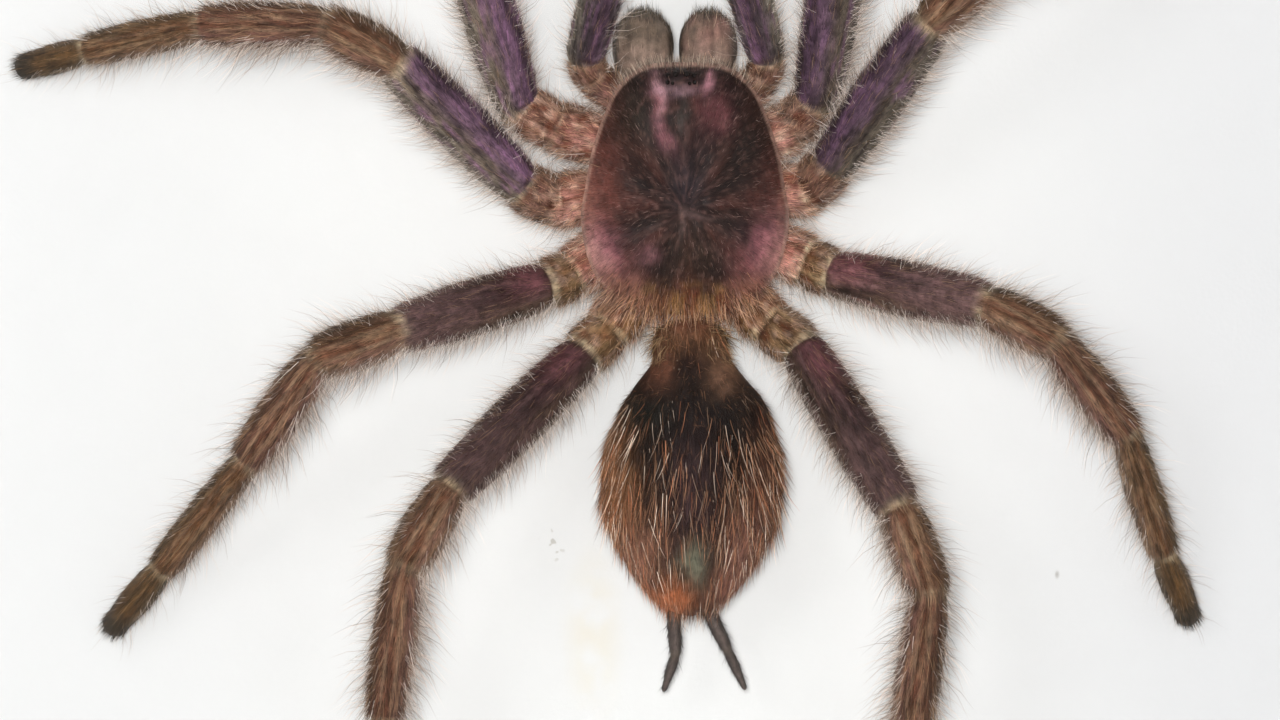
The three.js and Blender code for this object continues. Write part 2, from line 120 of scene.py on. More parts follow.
camera_data = bpy.data.cameras.new("photo_camera")
camera_data.lens = LENS
camera_data.sensor_width = SENSOR
camera_data.clip_end = 100.0
camera = put("photo_camera", camera_data)
bpy.context.scene.camera = camera
view_distance = VIEW_WIDTH * MM * LENS / SENSOR
target = on_board([*VIEW_MIDDLE, 4.0])
camera.location = target + OUTWARD * view_distance
camera.rotation_euler = (math.radians(90), 0, 0)
print("camera", round(view_distance, 3), "m in front of the specimen")

# %% [markdown]
# ## Studio light
# The board shows no shadow and is a little dimmer on the right; that dimming is painted shade in the board's
# colour, not made by these lights. The main light stands beside the camera's own axis, so that what it
# doesn't reach isn't seen either, and it gives no glint, which keeps the glass clear. Two lights at the
# sides give the hair its shine. A pale world fills the rest, and mirror-like rays see a darker one, as
# behind a photographer who shades the lens. One more light keeps the back of the box readable from behind.

# %% World, lights and floor
WORLD_PALE = (0.78, 0.79, 0.80, 1.0)
WORLD_FILL = 0.13
WORLD_MIRRORED = 0.10

scene = bpy.context.scene
scene.view_settings.view_transform = "Standard"
scene.view_settings.look = "None"
world = bpy.data.worlds.new("studio")
scene.world = world
world.use_nodes = True
world_nodes, world_links = world.node_tree.nodes, world.node_tree.links
backdrop = world_nodes["Background"]
backdrop.inputs["Color"].default_value = WORLD_PALE
rays = world_nodes.new("ShaderNodeLightPath")
strength = world_nodes.new("ShaderNodeMapRange")
strength.inputs["To Min"].default_value = WORLD_FILL
strength.inputs["To Max"].default_value = WORLD_MIRRORED
world_links.new(rays.outputs["Is Glossy Ray"], strength.inputs["Value"])
seen = world_nodes.new("ShaderNodeMix")
world_links.new(rays.outputs["Is Camera Ray"], seen.inputs[0])
world_links.new(strength.outputs["Result"], seen.inputs[2])
seen.inputs[3].default_value = 1.0
world_links.new(seen.outputs[0], backdrop.inputs["Strength"])

# Place, side in metres, power in watts and whether glossy surfaces show it
LIGHTS = {
    "front_softbox": ((-0.05, -1.45, 0.15), 0.22, 18.0, False),
    "left_softbox": ((-0.42, -0.60, 0.34), 0.30, 0.8, True),
    "right_softbox": ((0.75, -0.90, 0.40), 0.50, 0.7, True),
    "back_softbox": ((0.5, 1.4, 0.9), 0.90, 16.0, True),
}
for name, (place, side, power, glints) in LIGHTS.items():
    lamp = bpy.data.lights.new(name, "AREA")
    lamp.size = side
    lamp.energy = power
    holder = put(name, lamp)
    holder.location = place
    aim = Vector((0, 0, MIDDLE)) - Vector(place)
    holder.rotation_euler = aim.to_track_quat("-Z", "Y").to_euler()
    holder.visible_camera = False
    holder.visible_glossy = glints

FLOOR_REACH = 30.0
FLOOR_GAP = 0.0002
floor_mesh = bpy.data.meshes.new("floor")
corners = [(-FLOOR_REACH, -FLOOR_REACH), (FLOOR_REACH, -FLOOR_REACH), (FLOOR_REACH, FLOOR_REACH),
           (-FLOOR_REACH, FLOOR_REACH)]
floor_mesh.from_pydata([(x, y, cad_low.z - FLOOR_GAP) for x, y in corners], [], [(0, 1, 2, 3)])
floor = put("floor", floor_mesh)
print("lights", len(LIGHTS))

# %% [markdown]
# ## Writing node trees as expressions
# A shader or a geometry tree is easier to read as arithmetic than as a list of links. A Wire stands for one
# output socket, and adding or multiplying wires adds the Math nodes. A Sheet adds every other kind of node
# in one call: its type, its settings and what goes into its sockets.

# %% Wires and sheets
def plug(socket, value):
    """Links a wire to a socket, or writes a plain value on it."""
    if isinstance(value, Wire):
        socket.id_data.links.new(value.socket, socket)
    else:
        socket.default_value = value


class Wire:
    """One output socket, which can be used in arithmetic."""

    def __init__(self, socket):
        self.socket = socket

    def _math(self, operation, *values):
        node = self.socket.id_data.nodes.new("ShaderNodeMath")
        node.operation = operation
        for socket, value in zip(node.inputs, values):
            plug(socket, value)
        return Wire(node.outputs[0])

    def __add__(self, other):
        return self._math("ADD", self, other)

    def __radd__(self, other):
        return self._math("ADD", other, self)

    def __sub__(self, other):
        return self._math("SUBTRACT", self, other)

    def __rsub__(self, other):
        return self._math("SUBTRACT", other, self)

    def __mul__(self, other):
        return self._math("MULTIPLY", self, other)

    def __rmul__(self, other):
        return self._math("MULTIPLY", other, self)

    def least(self, other):
        return self._math("MINIMUM", self, other)


class Sheet:
    """A node tree that is filled by calls."""

    def __init__(self, tree):
        self.tree = tree

    def node(self, kind, settings=None, sockets=None, out=0):
        """Adds a node and returns the wire of one output, or of several if out is a tuple."""
        made = self.tree.nodes.new(kind)
        for name, value in (settings or {}).items():
            if name == "stops":
                self.set_stops(made.color_ramp, value)
            else:
                setattr(made, name, value)
        for name, value in (sockets or {}).items():
            plug(made.inputs[name], value)
        if isinstance(out, tuple):
            return [Wire(made.outputs[name]) for name in out]
        return Wire(made.outputs[out])

    @staticmethod
    def set_stops(ramp, stops):
        for stop, (place, value) in zip(range(len(stops)), stops):
            element = ramp.elements[stop] if stop < 2 else ramp.elements.new(place)
            element.position = place
            element.color = value

    def blend(self, share, first, second):
        """A colour between two."""
        return self.node("ShaderNodeMix", {"data_type": "RGBA"}, {0: share, 6: first, 7: second}, 2)

    def vector(self, operation, *values):
        node = self.tree.nodes.new("ShaderNodeVectorMath")
        node.operation = operation
        for socket, value in zip(node.inputs, values):
            plug(socket, value)
        return Wire(node.outputs["Value" if operation in ("DOT_PRODUCT", "LENGTH") else "Vector"])

    def scaled(self, vector, share):
        return self.node("ShaderNodeVectorMath", {"operation": "SCALE"}, {0: vector, "Scale": share})


def linear(code):
    """A hex colour as linear numbers."""
    parts = [int(code[i:i + 2], 16) / 255 for i in (0, 2, 4)]
    return tuple(p / 12.92 if p <= 0.04045 else ((p + 0.055) / 1.055) ** 2.4 for p in parts)


def paint(code):
    return (*linear(code), 1.0)


print("black wood", [round(v, 4) for v in linear("1d1916")])

# %% [markdown]
# ## Finishes of the shadow box
# Each finish is one material made from noise that is stretched or scaled to the real size: open pores along
# the black wood's length, the tooth of mat board, the matted fibres of hardboard and the dull streaks of
# zinc. Object coordinates are metres here, so a scale of 1000 is one feature a millimetre.

# %% Materials: helpers
def finish(name, plain):
    """A material, its sheet and its shader; plain is the mean colour."""
    material = bpy.data.materials.new(name)
    material.use_nodes = True
    material.diffuse_color = paint(plain)
    shader = material.node_tree.nodes["Principled BSDF"]
    shader.inputs["Base Color"].default_value = paint(plain)
    return material, Sheet(material.node_tree), shader


def place_in_object(sheet, scale=(1, 1, 1)):
    """Object coordinates, stretched."""
    here = sheet.node("ShaderNodeTexCoord", out="Object")
    return sheet.node("ShaderNodeMapping", {"vector_type": "POINT"}, {"Vector": here, "Scale": scale})


def cloud(sheet, where, scale, detail=3.0, roughness=0.55, distortion=0.0):
    """Noise between 0 and 1."""
    return sheet.node("ShaderNodeTexNoise", None, {
        "Vector": where, "Scale": scale, "Detail": detail, "Roughness": roughness,
        "Distortion": distortion,
    }, "Fac")


def spread(sheet, value, low, high):
    """Stretches a value so that low becomes 0 and high becomes 1, with soft ends."""
    return sheet.node("ShaderNodeMapRange", {"interpolation_type": "SMOOTHSTEP"},
                      {"Value": value, "From Min": low, "From Max": high}, "Result")


def relief(sheet, shader, height, depth, strength=1.0):
    """Bump of a real depth in metres."""
    bump = sheet.node("ShaderNodeBump", None,
                      {"Height": height, "Distance": depth, "Strength": strength}, "Normal")
    plug(shader.inputs["Normal"], bump)


def mix_surfaces(material, share, first, second):
    """Makes the surface a mix of two shaders."""
    nodes, links = material.node_tree.nodes, material.node_tree.links
    mixed = nodes.new("ShaderNodeMixShader")
    plug(mixed.inputs[0], share)
    links.new(first.outputs[0], mixed.inputs[1])
    links.new(second.outputs[0], mixed.inputs[2])
    links.new(mixed.outputs[0], nodes["Material Output"].inputs["Surface"])


def dress(names, material):
    """Gives CAD nodes their finish."""
    for name in names:
        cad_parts[name].material_slots[0].material = material


print("materials so far", len(bpy.data.materials))

# %% Black wood
def black_wood(name, grain_axis):
    material, sheet, shader = finish(name, "1d1916")
    fine = [900.0] * 3
    fine[grain_axis] = 40.0
    wide = [140.0] * 3
    wide[grain_axis] = 9.0
    pores = spread(sheet, cloud(sheet, place_in_object(sheet, fine), 1.0, 2.0), 0.54, 0.66)
    bands = cloud(sheet, place_in_object(sheet, wide), 1.0, 4.0, 0.6, 0.6)
    smudge = cloud(sheet, place_in_object(sheet), 55.0, 3.0)
    stain = sheet.blend(bands, paint("14100e"), paint("2b241f"))
    rubbed = sheet.blend(spread(sheet, smudge, 0.62, 0.75) * 0.35, stain, paint("4a4038"))
    plug(shader.inputs["Base Color"], sheet.blend(pores * 0.6, rubbed, paint("0a0807")))
    plug(shader.inputs["Roughness"], 0.36 + smudge * 0.2 + pores * 0.15)
    relief(sheet, shader, bands * 0.4 - pores, 0.00012, 0.7)
    return material


dress(["frame_rail_top", "frame_rail_bottom"], black_wood("black_wood_across", 0))
dress(["frame_rail_left", "frame_rail_right"], black_wood("black_wood_upright", 2))
print("rails finished")

# %% [markdown]
# ## The white board
# The board is bright mat board. The picture shows a pale yellow stain that runs down below the abdomen and
# a few specks of dirt, and they stay, because they are the specimen's age. Each is a soft spot at its own
# place on the board.

# %% Board and spacers
# Marks of age: across, along, half width and half length in millimetres
STAIN = (-9.2, -45.0, 4.0, 12.0)
DIRT = (-13.4, -35.8, 2.6, 3.6)
DOT = (37.3, -39.0, 0.35, 0.6)


def spot_on_board(sheet, across, along, width, length):
    """A soft spot on the board: 1 in its middle, 0 from its edge on."""
    here = sheet.node("ShaderNodeTexCoord", out="Object")
    middle = on_board([across, along, 0])
    away = sheet.vector("SUBTRACT", here, tuple(middle))
    shrunk = sheet.vector("MULTIPLY", away, (1 / (width * MM), 0.0, 1 / (length * MM)))
    return spread(sheet, 1.0 - sheet.vector("LENGTH", shrunk), 0.0, 1.0)


def mat_board(name, marked):
    material, sheet, shader = finish(name, "f3f3f1")
    here = place_in_object(sheet)
    tooth = cloud(sheet, here, 2200.0, 2.0)
    mottle = cloud(sheet, here, 130.0, 3.0)
    colour = sheet.blend(mottle, paint("f6f6f5"), paint("f0f0ef"))
    if marked:
        x = sheet.node("ShaderNodeSeparateXYZ", None,
                       {0: sheet.node("ShaderNodeTexCoord", out="Object")}, "X")
        # Painted shade: the board's colour greys towards its right edge, and less towards its left, standing
        # in for light that falls off there
        painted_falloff = spread(sheet, x, 18 * MM, 62 * MM)
        painted_falloff = painted_falloff + spread(sheet, -1.0 * x, 14 * MM, 60 * MM) * 0.45
        colour = sheet.blend(painted_falloff, colour, paint("e4e4e5"))
        uneven = cloud(sheet, here, 260.0, 3.0)
        stain = spot_on_board(sheet, *STAIN) * spread(sheet, uneven, 0.30, 0.62)
        colour = sheet.blend(stain * 0.5, colour, paint("efe6cf"))
        specks = spread(sheet, cloud(sheet, here, 1500.0, 1.0), 0.62, 0.70)
        dirt = spot_on_board(sheet, *DIRT) * specks
        colour = sheet.blend(dirt * 0.45, colour, paint("a39a86"))
        dot = spot_on_board(sheet, *DOT)
        colour = sheet.blend(dot * 0.6, colour, paint("9a958c"))
    plug(shader.inputs["Base Color"], colour)
    plug(shader.inputs["Roughness"], 0.82 + mottle * 0.12)
    relief(sheet, shader, tooth, 0.00004, 0.5)
    return material


dress(["mount_board"], mat_board("mount_board_white", True))
dress([f"spacer_{side}" for side in ("top", "bottom", "left", "right")], mat_board("spacer_white", False))
print("board and spacers finished")

# %% [markdown]
# ## Glass, back panel and fittings
# Thin picture glass hardly bends what is behind it, so it is a clear surface with a little gloss that grows
# at a glancing angle. That also lets the studio light through without noise. The back is brown hardboard,
# held by steel points, with a zinc sawtooth hanger and two soft bumpers.

# %% Glass
def picture_glass():
    material, sheet, _ = finish("picture_glass", "e6efec")
    nodes = material.node_tree.nodes
    here = place_in_object(sheet)
    clear = nodes.new("ShaderNodeBsdfTransparent")
    clear.inputs["Color"].default_value = (0.990, 0.991, 0.990, 1.0)
    gloss = nodes.new("ShaderNodeBsdfGlossy")
    gloss.inputs["Roughness"].default_value = 0.02
    wipe = spread(sheet, cloud(sheet, here, 28.0, 3.0), 0.5, 0.75)
    edge = sheet.node("ShaderNodeFresnel", None, {"IOR": 1.28})
    mix_surfaces(material, edge + wipe * 0.002, clear, gloss)
    nodes.remove(nodes["Principled BSDF"])
    return material


dress(["glass_pane"], picture_glass())
print("glass finished")

# %% Hardboard, steel and bumpers
def hardboard():
    material, sheet, shader = finish("hardboard_brown", "6f4a2c")
    here = place_in_object(sheet)
    fibres = cloud(sheet, place_in_object(sheet, (420, 420, 700)), 1.0, 5.0, 0.65, 1.2)
    patches = cloud(sheet, here, 22.0, 4.0)
    flecks = spread(sheet, cloud(sheet, here, 950.0, 1.0), 0.64, 0.72)
    base = sheet.blend(fibres, paint("553619"), paint("86602f"))
    tinted = sheet.blend(patches * 0.45, base, paint("6a4529"))
    plug(shader.inputs["Base Color"], sheet.blend(flecks * 0.5, tinted, paint("3a2413")))
    plug(shader.inputs["Roughness"], 0.5 + fibres * 0.3)
    relief(sheet, shader, fibres, 0.00008, 0.6)
    return material


def zinc():
    material, sheet, shader = finish("zinc_steel", "a9abab")
    brushed = cloud(sheet, place_in_object(sheet, (120, 900, 1500)), 1.0, 3.0)
    blotch = cloud(sheet, place_in_object(sheet), 260.0, 3.0)
    plug(shader.inputs["Base Color"], sheet.blend(blotch, paint("b9babb"), paint("8f9293")))
    plug(shader.inputs["Roughness"], 0.26 + brushed * 0.22 + blotch * 0.1)
    shader.inputs["Metallic"].default_value = 1.0
    relief(sheet, shader, brushed, 0.00002, 0.5)
    return material


def soft_bumper():
    material, sheet, shader = finish("soft_bumper", "2a2a2c")
    felt = cloud(sheet, place_in_object(sheet), 1800.0, 4.0, 0.7)
    plug(shader.inputs["Base Color"], sheet.blend(felt, paint("202022"), paint("3b3b3d")))
    plug(shader.inputs["Roughness"], 0.8 + felt * 0.15)
    relief(sheet, shader, felt, 0.0001, 0.8)
    return material


PANEL_POINTS = 8
steel_nodes = ["hanger", "hanger_nail_left", "hanger_nail_right"]
steel_nodes += [f"panel_point_{number + 1}" for number in range(PANEL_POINTS)]
dress(["back_panel"], hardboard())
dress(steel_nodes, zinc())
dress(["bumper_left", "bumper_right"], soft_bumper())
print("fittings finished", len(steel_nodes) + 3)

# %% [markdown]
# ## Floor
# The studio lights reach only the floor round the box, and a camera beside or behind it would see the rest
# nearly black. What the camera sees of the floor is therefore partly its own even glow. Light Path gives
# that glow to camera rays alone, so it lights nothing, and the box keeps its soft shadow.

# %% Pale floor
FLOOR_GLOW = 0.6


def pale_floor():
    material, sheet, shader = finish("pale_floor", "d8d8d6")
    tone = cloud(sheet, place_in_object(sheet), 3.0, 2.0)
    plug(shader.inputs["Base Color"], sheet.blend(tone, paint("d6d6d4"), paint("dededc")))
    shader.inputs["Roughness"].default_value = 0.85
    glow = material.node_tree.nodes.new("ShaderNodeEmission")
    glow.inputs["Color"].default_value = paint("d4d4d2")
    seen = sheet.node("ShaderNodeLightPath", out="Is Camera Ray")
    mix_surfaces(material, seen * FLOOR_GLOW, shader, glow)
    return material


floor_mesh.materials.append(pale_floor())
print("floor finished")

# %% [markdown]
# ## Skins of the animal
# Each piece of the animal is a closed skin of rings, with two numbers that say where a point lies: how far
# along the piece it is, and how far round. From those come its coat colour, the direction in which its hair
# is combed and how dense and long the hair is, all kept as attributes on the skin. Hair then follows them,
# which is how a groom works on any furry thing.

# %% Skin mesh from a grid of rings
def hum(points, scale, seed):
    """Smooth noise from -1 to 1 at points given in metres; scale is features a millimetre."""
    shift = Vector((seed * 7.31, seed * 3.17, seed * 5.77))
    flat = points.reshape(-1, 3) / MM * scale
    values = [noise.noise(Vector(p) + shift) for p in flat]
    return np.array(values).reshape(points.shape[:-1])


def skin_from_rings(name, grid, fields, material):
    """A closed skin. grid is rings by sides by 3; the first and last ring are drawn together."""
    rings, sides = grid.shape[:2]
    ends = [grid[0].mean(0), grid[-1].mean(0)]
    points = np.concatenate([[ends[0]], grid.reshape(-1, 3), [ends[1]]])
    turn = np.arange(sides)
    after = (turn + 1) % sides
    first = 1 + np.arange(rings - 1)[:, None] * sides
    quads = np.stack([first + turn, first + after, first + sides + after, first + sides + turn], -1)
    last = 1 + (rings - 1) * sides
    faces = [(0, 1 + b, 1 + a) for a, b in zip(turn.tolist(), after.tolist())]
    faces += quads.reshape(-1, 4).tolist()
    faces += [(len(points) - 1, last + a, last + b) for a, b in zip(turn.tolist(), after.tolist())]
    corner = points[[f[:3] for f in faces]]
    volume = np.einsum("ij,ij->i", corner[:, 0], np.cross(corner[:, 1], corner[:, 2])).sum()
    if volume < 0:
        faces = [tuple(reversed(f)) for f in faces]
    mesh = bpy.data.meshes.new(name)
    mesh.from_pydata(points.tolist(), [], faces)
    mesh.polygons.foreach_set("use_smooth", [True] * len(mesh.polygons))
    kinds = {"coat": "FLOAT_COLOR", "nap": "FLOAT_VECTOR"}
    for field, values in fields.items():
        values = np.asarray(values, float)
        width = values.shape[-1] if values.ndim == 3 else 1
        whole = values.reshape(-1, width)
        ring_ends = values[0].reshape(sides, width).mean(0), values[-1].reshape(sides, width).mean(0)
        whole = np.concatenate([[ring_ends[0]], whole, [ring_ends[1]]])
        if field == "coat":
            whole = np.concatenate([whole, np.ones((len(whole), 1))], 1)
        layer = mesh.attributes.new(field, kinds.get(field, "FLOAT"), "POINT")
        key = {"coat": "color", "nap": "vector"}.get(field, "value")
        layer.data.foreach_set(key, whole.astype(np.float32).ravel())
    mesh.materials.append(material)
    mesh.update()
    return put(name, mesh)


def soft(value, low, high):
    """0 below low, 1 above high, smooth between."""
    share = np.clip((value - low) / (high - low), 0, 1)
    return share * share * (3 - 2 * share)


def hump(value, middle, width):
    return np.exp(-((value - middle) / width) ** 2)


def tint(coat, share, code):
    """Moves a coat towards a colour by a share that varies over the skin."""
    share = np.clip(share, 0, 1)[..., None]
    return coat * (1 - share) + np.array(linear(code)) * share


def across_colours(place, stops):
    """Colours by a place between -1 and 1, through named stops."""
    at = [stop for stop, _ in stops]
    codes = np.array([linear(code) for _, code in stops])
    return np.stack([np.interp(place, at, codes[:, k]) for k in range(3)], -1)


print("skin helpers ready")

# %% [markdown]
# ## Skin and hair materials
# Both read the coat colour that the skin carries. The skin is the darker, leathery ground. A hair starts as
# dark as the skin, gets lighter towards its tip and differs a little from its neighbours, which is what
# makes a coat look deep.

# %% Coat materials
def read(sheet, name, out="Fac"):
    return sheet.node("ShaderNodeAttribute", {"attribute_name": name}, None, out)


def skin_finish(name, plain, darker, roughness, grain):
    material, sheet, shader = finish(name, plain)
    here = place_in_object(sheet)
    fine = cloud(sheet, here, grain, 4.0, 0.65)
    wide = cloud(sheet, here, grain / 6, 3.0)
    coat = read(sheet, "coat", "Color")
    deep = sheet.scaled(coat, darker)
    plug(shader.inputs["Base Color"], sheet.blend(spread(sheet, fine, 0.3, 0.75), deep, coat))
    plug(shader.inputs["Roughness"], roughness + fine * 0.2 - wide * 0.1)
    relief(sheet, shader, fine + wide, 0.00012, 0.6)
    return material


def hair_finish(name, plain, roots, tips, roughness):
    material, sheet, shader = finish(name, plain)
    coat = read(sheet, "coat", "Color")
    along = read(sheet, "along")
    tone = read(sheet, "tone")
    light = (roots + (tips - roots) * along) * (0.35 + tone * 1.3)
    plug(shader.inputs["Base Color"], sheet.scaled(coat, light))
    plug(shader.inputs["Roughness"], roughness + tone * 0.15)
    shader.inputs["Specular IOR Level"].default_value = 0.35
    return material


leg_skin = skin_finish("leg_skin", "4a372e", 0.45, 0.55, 1600.0)
shell_skin = skin_finish("carapace_shell_skin", "3a2724", 0.55, 0.42, 1300.0)
belly_skin = skin_finish("abdomen_skin", "38251d", 0.5, 0.6, 1500.0)
jaw_skin = skin_finish("jaw_skin", "8d7867", 0.6, 0.5, 1500.0)
coat_hair = hair_finish("coat_hair", "5d4334", 0.55, 1.35, 0.5)
pale_hair = hair_finish("pale_hair", "c9a58a", 0.8, 1.15, 0.45)
print("coat materials", [m.name for m in (leg_skin, shell_skin, belly_skin, jaw_skin, coat_hair)])

# %% [markdown]
# ## Hair by Geometry Nodes
# A coat is thousands of small tapered spikes. One geometry tree scatters points over a skin where a mask
# lets it, turns a spike at each one between the skin's nap and its normal, bends it a little and makes the
# result real mesh. A spike of three sides is closed and has only 4 to 16 triangles. Hair that would reach
# into the board is laid flat on it.

# %% One layer of hair
PER_MM2 = 1e6            # points on a square metre for one on a square millimetre
OFF_BOARD = 0.03         # hair stops this many millimetres above the board
SHAKE_SEED, LENGTH_SEED, TONE_SEED, LAYER_SEED = 11, 23, 37, 101
HAIR_INPUTS = {
    "Skin": ("NodeSocketGeometry", None),
    "Mask": ("NodeSocketString", "pile"),
    "Hairs a mm2": ("NodeSocketFloat", 8.0),
    "Length mm": ("NodeSocketFloat", 1.2),
    "Uneven": ("NodeSocketFloat", 0.35),
    "Slimness": ("NodeSocketFloat", 0.07),
    "Lift": ("NodeSocketFloat", 0.3),
    "Jitter": ("NodeSocketFloat", 0.2),
    "Clumps": ("NodeSocketFloat", 0.5),
    "Clump size": ("NodeSocketFloat", 900.0),
    "Bend": ("NodeSocketFloat", 0.15),
    "Steps": ("NodeSocketInt", 1),
    "Dark": ("NodeSocketColor", paint("33241c")),
    "Light": ("NodeSocketColor", paint("8a6a4a")),
    "Own colour": ("NodeSocketFloat", 0.0),
    "Seed": ("NodeSocketInt", 0),
    "Finish": ("NodeSocketMaterial", None),
}


def new_tree(name, inputs):
    tree = bpy.data.node_groups.new(name, "GeometryNodeTree")
    for label, (kind, value) in inputs.items():
        socket = tree.interface.new_socket(label, in_out="INPUT", socket_type=kind)
        if value is not None:
            socket.default_value = value
    tree.interface.new_socket("Hair", in_out="OUTPUT", socket_type="NodeSocketGeometry")
    entry = tree.nodes.new("NodeGroupInput")
    wires = {socket.name: Wire(socket) for socket in entry.outputs if socket.name}
    return tree, Sheet(tree), wires


def random_number(sheet, seed, low=0.0, high=1.0):
    return sheet.node("FunctionNodeRandomValue", {"data_type": "FLOAT"},
                      {2: low, 3: high, 8: seed}, 1)


def stored(sheet, geometry, name, kind, value):
    return sheet.node("GeometryNodeStoreNamedAttribute", {"data_type": kind, "domain": "POINT"},
                      {"Geometry": geometry, "Name": name, "Value": value})


def named(sheet, name, kind):
    return sheet.node("GeometryNodeInputNamedAttribute", {"data_type": kind}, {"Name": name})


def spike(sheet, steps, slimness, bend):
    """A closed three-sided spike, one unit long, that leans towards X at its tip."""
    cone = sheet.node("GeometryNodeMeshCone", {"fill_type": "NGON"}, {
        "Vertices": 3, "Side Segments": steps, "Radius Top": 0.0, "Radius Bottom": slimness,
        "Depth": 1.0,
    }, "Mesh")
    here = sheet.node("GeometryNodeInputPosition")
    rise = sheet.node("ShaderNodeSeparateXYZ", None, {0: here}, "Z")
    marked = stored(sheet, cone, "along", "FLOAT", rise)
    lean = sheet.node("ShaderNodeCombineXYZ", None, {"X": rise * rise * bend})
    return sheet.node("GeometryNodeSetPosition", None, {"Geometry": marked, "Offset": lean})


def hair_layer_tree():
    tree, sheet, give = new_tree("hair_layer", HAIR_INPUTS)
    mask = named(sheet, give["Mask"], "FLOAT")
    scatter = {"distribute_method": "RANDOM"}
    points, normal = sheet.node("GeometryNodeDistributePointsOnFaces", scatter, {
        "Mesh": give["Skin"], "Density": mask * give["Hairs a mm2"] * PER_MM2, "Seed": give["Seed"],
    }, ("Points", "Normal"))
    nap = named(sheet, "nap", "FLOAT_VECTOR")
    where = sheet.node("GeometryNodeInputPosition")
    drift = sheet.node("ShaderNodeTexNoise", None,
                       {"Vector": where, "Scale": give["Clump size"], "Detail": 1.0}, "Color")
    drift = sheet.scaled(sheet.vector("SUBTRACT", drift, (0.5, 0.5, 0.5)), give["Clumps"])
    shake = sheet.node("FunctionNodeRandomValue", {"data_type": "FLOAT_VECTOR"},
                       {0: (-1, -1, -1), 1: (1, 1, 1), 8: give["Seed"] + SHAKE_SEED}, 0)
    heading = sheet.vector("ADD", sheet.scaled(nap, 1.0 - give["Lift"]),
                           sheet.scaled(normal, give["Lift"]))
    heading = sheet.vector("ADD", heading, drift)
    heading = sheet.vector("ADD", heading, sheet.scaled(shake, give["Jitter"]))
    upright = sheet.node("FunctionNodeAlignRotationToVector", {"axis": "Z"}, {"Vector": heading})
    turned = sheet.node("FunctionNodeAlignRotationToVector", {"axis": "X", "pivot_axis": "Z"},
                        {"Rotation": upright, "Vector": nap})
    uneven = 1.0 + random_number(sheet, give["Seed"] + LENGTH_SEED, -1.0, 1.0) * give["Uneven"]
    length = named(sheet, "reach", "FLOAT") * give["Length mm"] * uneven * MM
    tone = random_number(sheet, give["Seed"] + TONE_SEED)
    own = sheet.blend(tone, give["Dark"], give["Light"])
    coat = sheet.blend(give["Own colour"], named(sheet, "coat", "FLOAT_COLOR"), own)
    points = stored(sheet, points, "tone", "FLOAT", tone)
    points = stored(sheet, points, "coat", "FLOAT_COLOR", coat)
    hairs = sheet.node("GeometryNodeInstanceOnPoints", None, {
        "Points": points, "Instance": spike(sheet, give["Steps"], give["Slimness"], give["Bend"]),
        "Rotation": turned, "Scale": length,
    })
    real = sheet.node("GeometryNodeRealizeInstances", None, {"Geometry": hairs})
    x, y, z = sheet.node("ShaderNodeSeparateXYZ", None,
                         {0: sheet.node("GeometryNodeInputPosition")}, ("X", "Y", "Z"))
    kept = sheet.node("ShaderNodeCombineXYZ", None,
                      {"X": x, "Y": y.least(BOARD_FRONT - OFF_BOARD * MM), "Z": z})
    real = sheet.node("GeometryNodeSetPosition", None, {"Geometry": real, "Position": kept})
    done = sheet.node("GeometryNodeSetMaterial", None,
                      {"Geometry": real, "Material": give["Finish"]})
    sheet.node("NodeGroupOutput", None, {0: done}, ())
    return tree


hair_layer = hair_layer_tree()
print("hair layer tree", len(hair_layer.nodes), "nodes")

# %% Coats of several layers
def coat_tree(name, layers):
    """A tree that grows each layer with its own settings and joins them."""
    tree, sheet, give = new_tree(name, {
        "Skin": ("NodeSocketGeometry", None),
        "Seed": ("NodeSocketInt", 0),
    })
    join = tree.nodes.new("GeometryNodeJoinGeometry")
    for number, settings in enumerate(layers):
        layer = tree.nodes.new("GeometryNodeGroup")
        layer.node_tree = hair_layer
        for label, value in settings.items():
            layer.inputs[label].default_value = value
        plug(layer.inputs["Skin"], give["Skin"])
        plug(layer.inputs["Seed"], give["Seed"] + LAYER_SEED * number)
        tree.links.new(layer.outputs[0], join.inputs[0])
    sheet.node("NodeGroupOutput", None, {0: Wire(join.outputs[0])}, ())
    return tree


HAIR_FIELDS = ("coat", "along", "tone", "position", "material_index", "sharp_face")


def grow_hair(skin, name, tree, seed):
    """Runs a coat tree on a skin and returns the hair as a plain mesh object."""
    modifier = skin.modifiers.new("coat", "NODES")
    modifier.node_group = tree
    modifier[tree.interface.items_tree["Seed"].identifier] = seed
    depsgraph = bpy.context.evaluated_depsgraph_get()
    mesh = bpy.data.meshes.new_from_object(skin.evaluated_get(depsgraph), depsgraph=depsgraph)
    skin.modifiers.remove(modifier)
    mesh.name = name
    for extra in [a.name for a in mesh.attributes if not a.name.startswith(".")]:
        if extra not in HAIR_FIELDS:
            mesh.attributes.remove(mesh.attributes[extra])
    hair = put(name, mesh)
    mesh.calc_loop_triangles()
    print(name, len(mesh.loop_triangles), "triangles")
    return hair


def settle(piece, slot, *nodes):
    """A finished piece rides on the box and stands for its nodes, which it hides. slot is not used."""
    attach(piece, "root")
    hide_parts(*nodes)


def settle_coated(skin, node, slot, tree, seed):
    """Grows a skin's hair, and settles both."""
    hair = grow_hair(skin, f"{node}_hair", tree, seed)
    settle(skin, slot, node)
    settle(hair, slot, node)


def layer(mask, per_mm2, length, slimness, lift, jitter, steps=1, colours=None, finish=coat_hair, **more):
    """Settings of one layer. colours is the share of a hair's own colour, its dark and its light one."""
    settings = {"Mask": mask, "Hairs a mm2": per_mm2, "Length mm": length, "Slimness": slimness,
                "Lift": lift, "Jitter": jitter, "Steps": steps, "Finish": finish}
    if colours:
        own, dark, light = colours
        settings.update({"Own colour": own, "Dark": paint(dark), "Light": paint(light)})
    settings.update({name.capitalize().replace("_", " "): value for name, value in more.items()})
    return settings


print("coats ready")

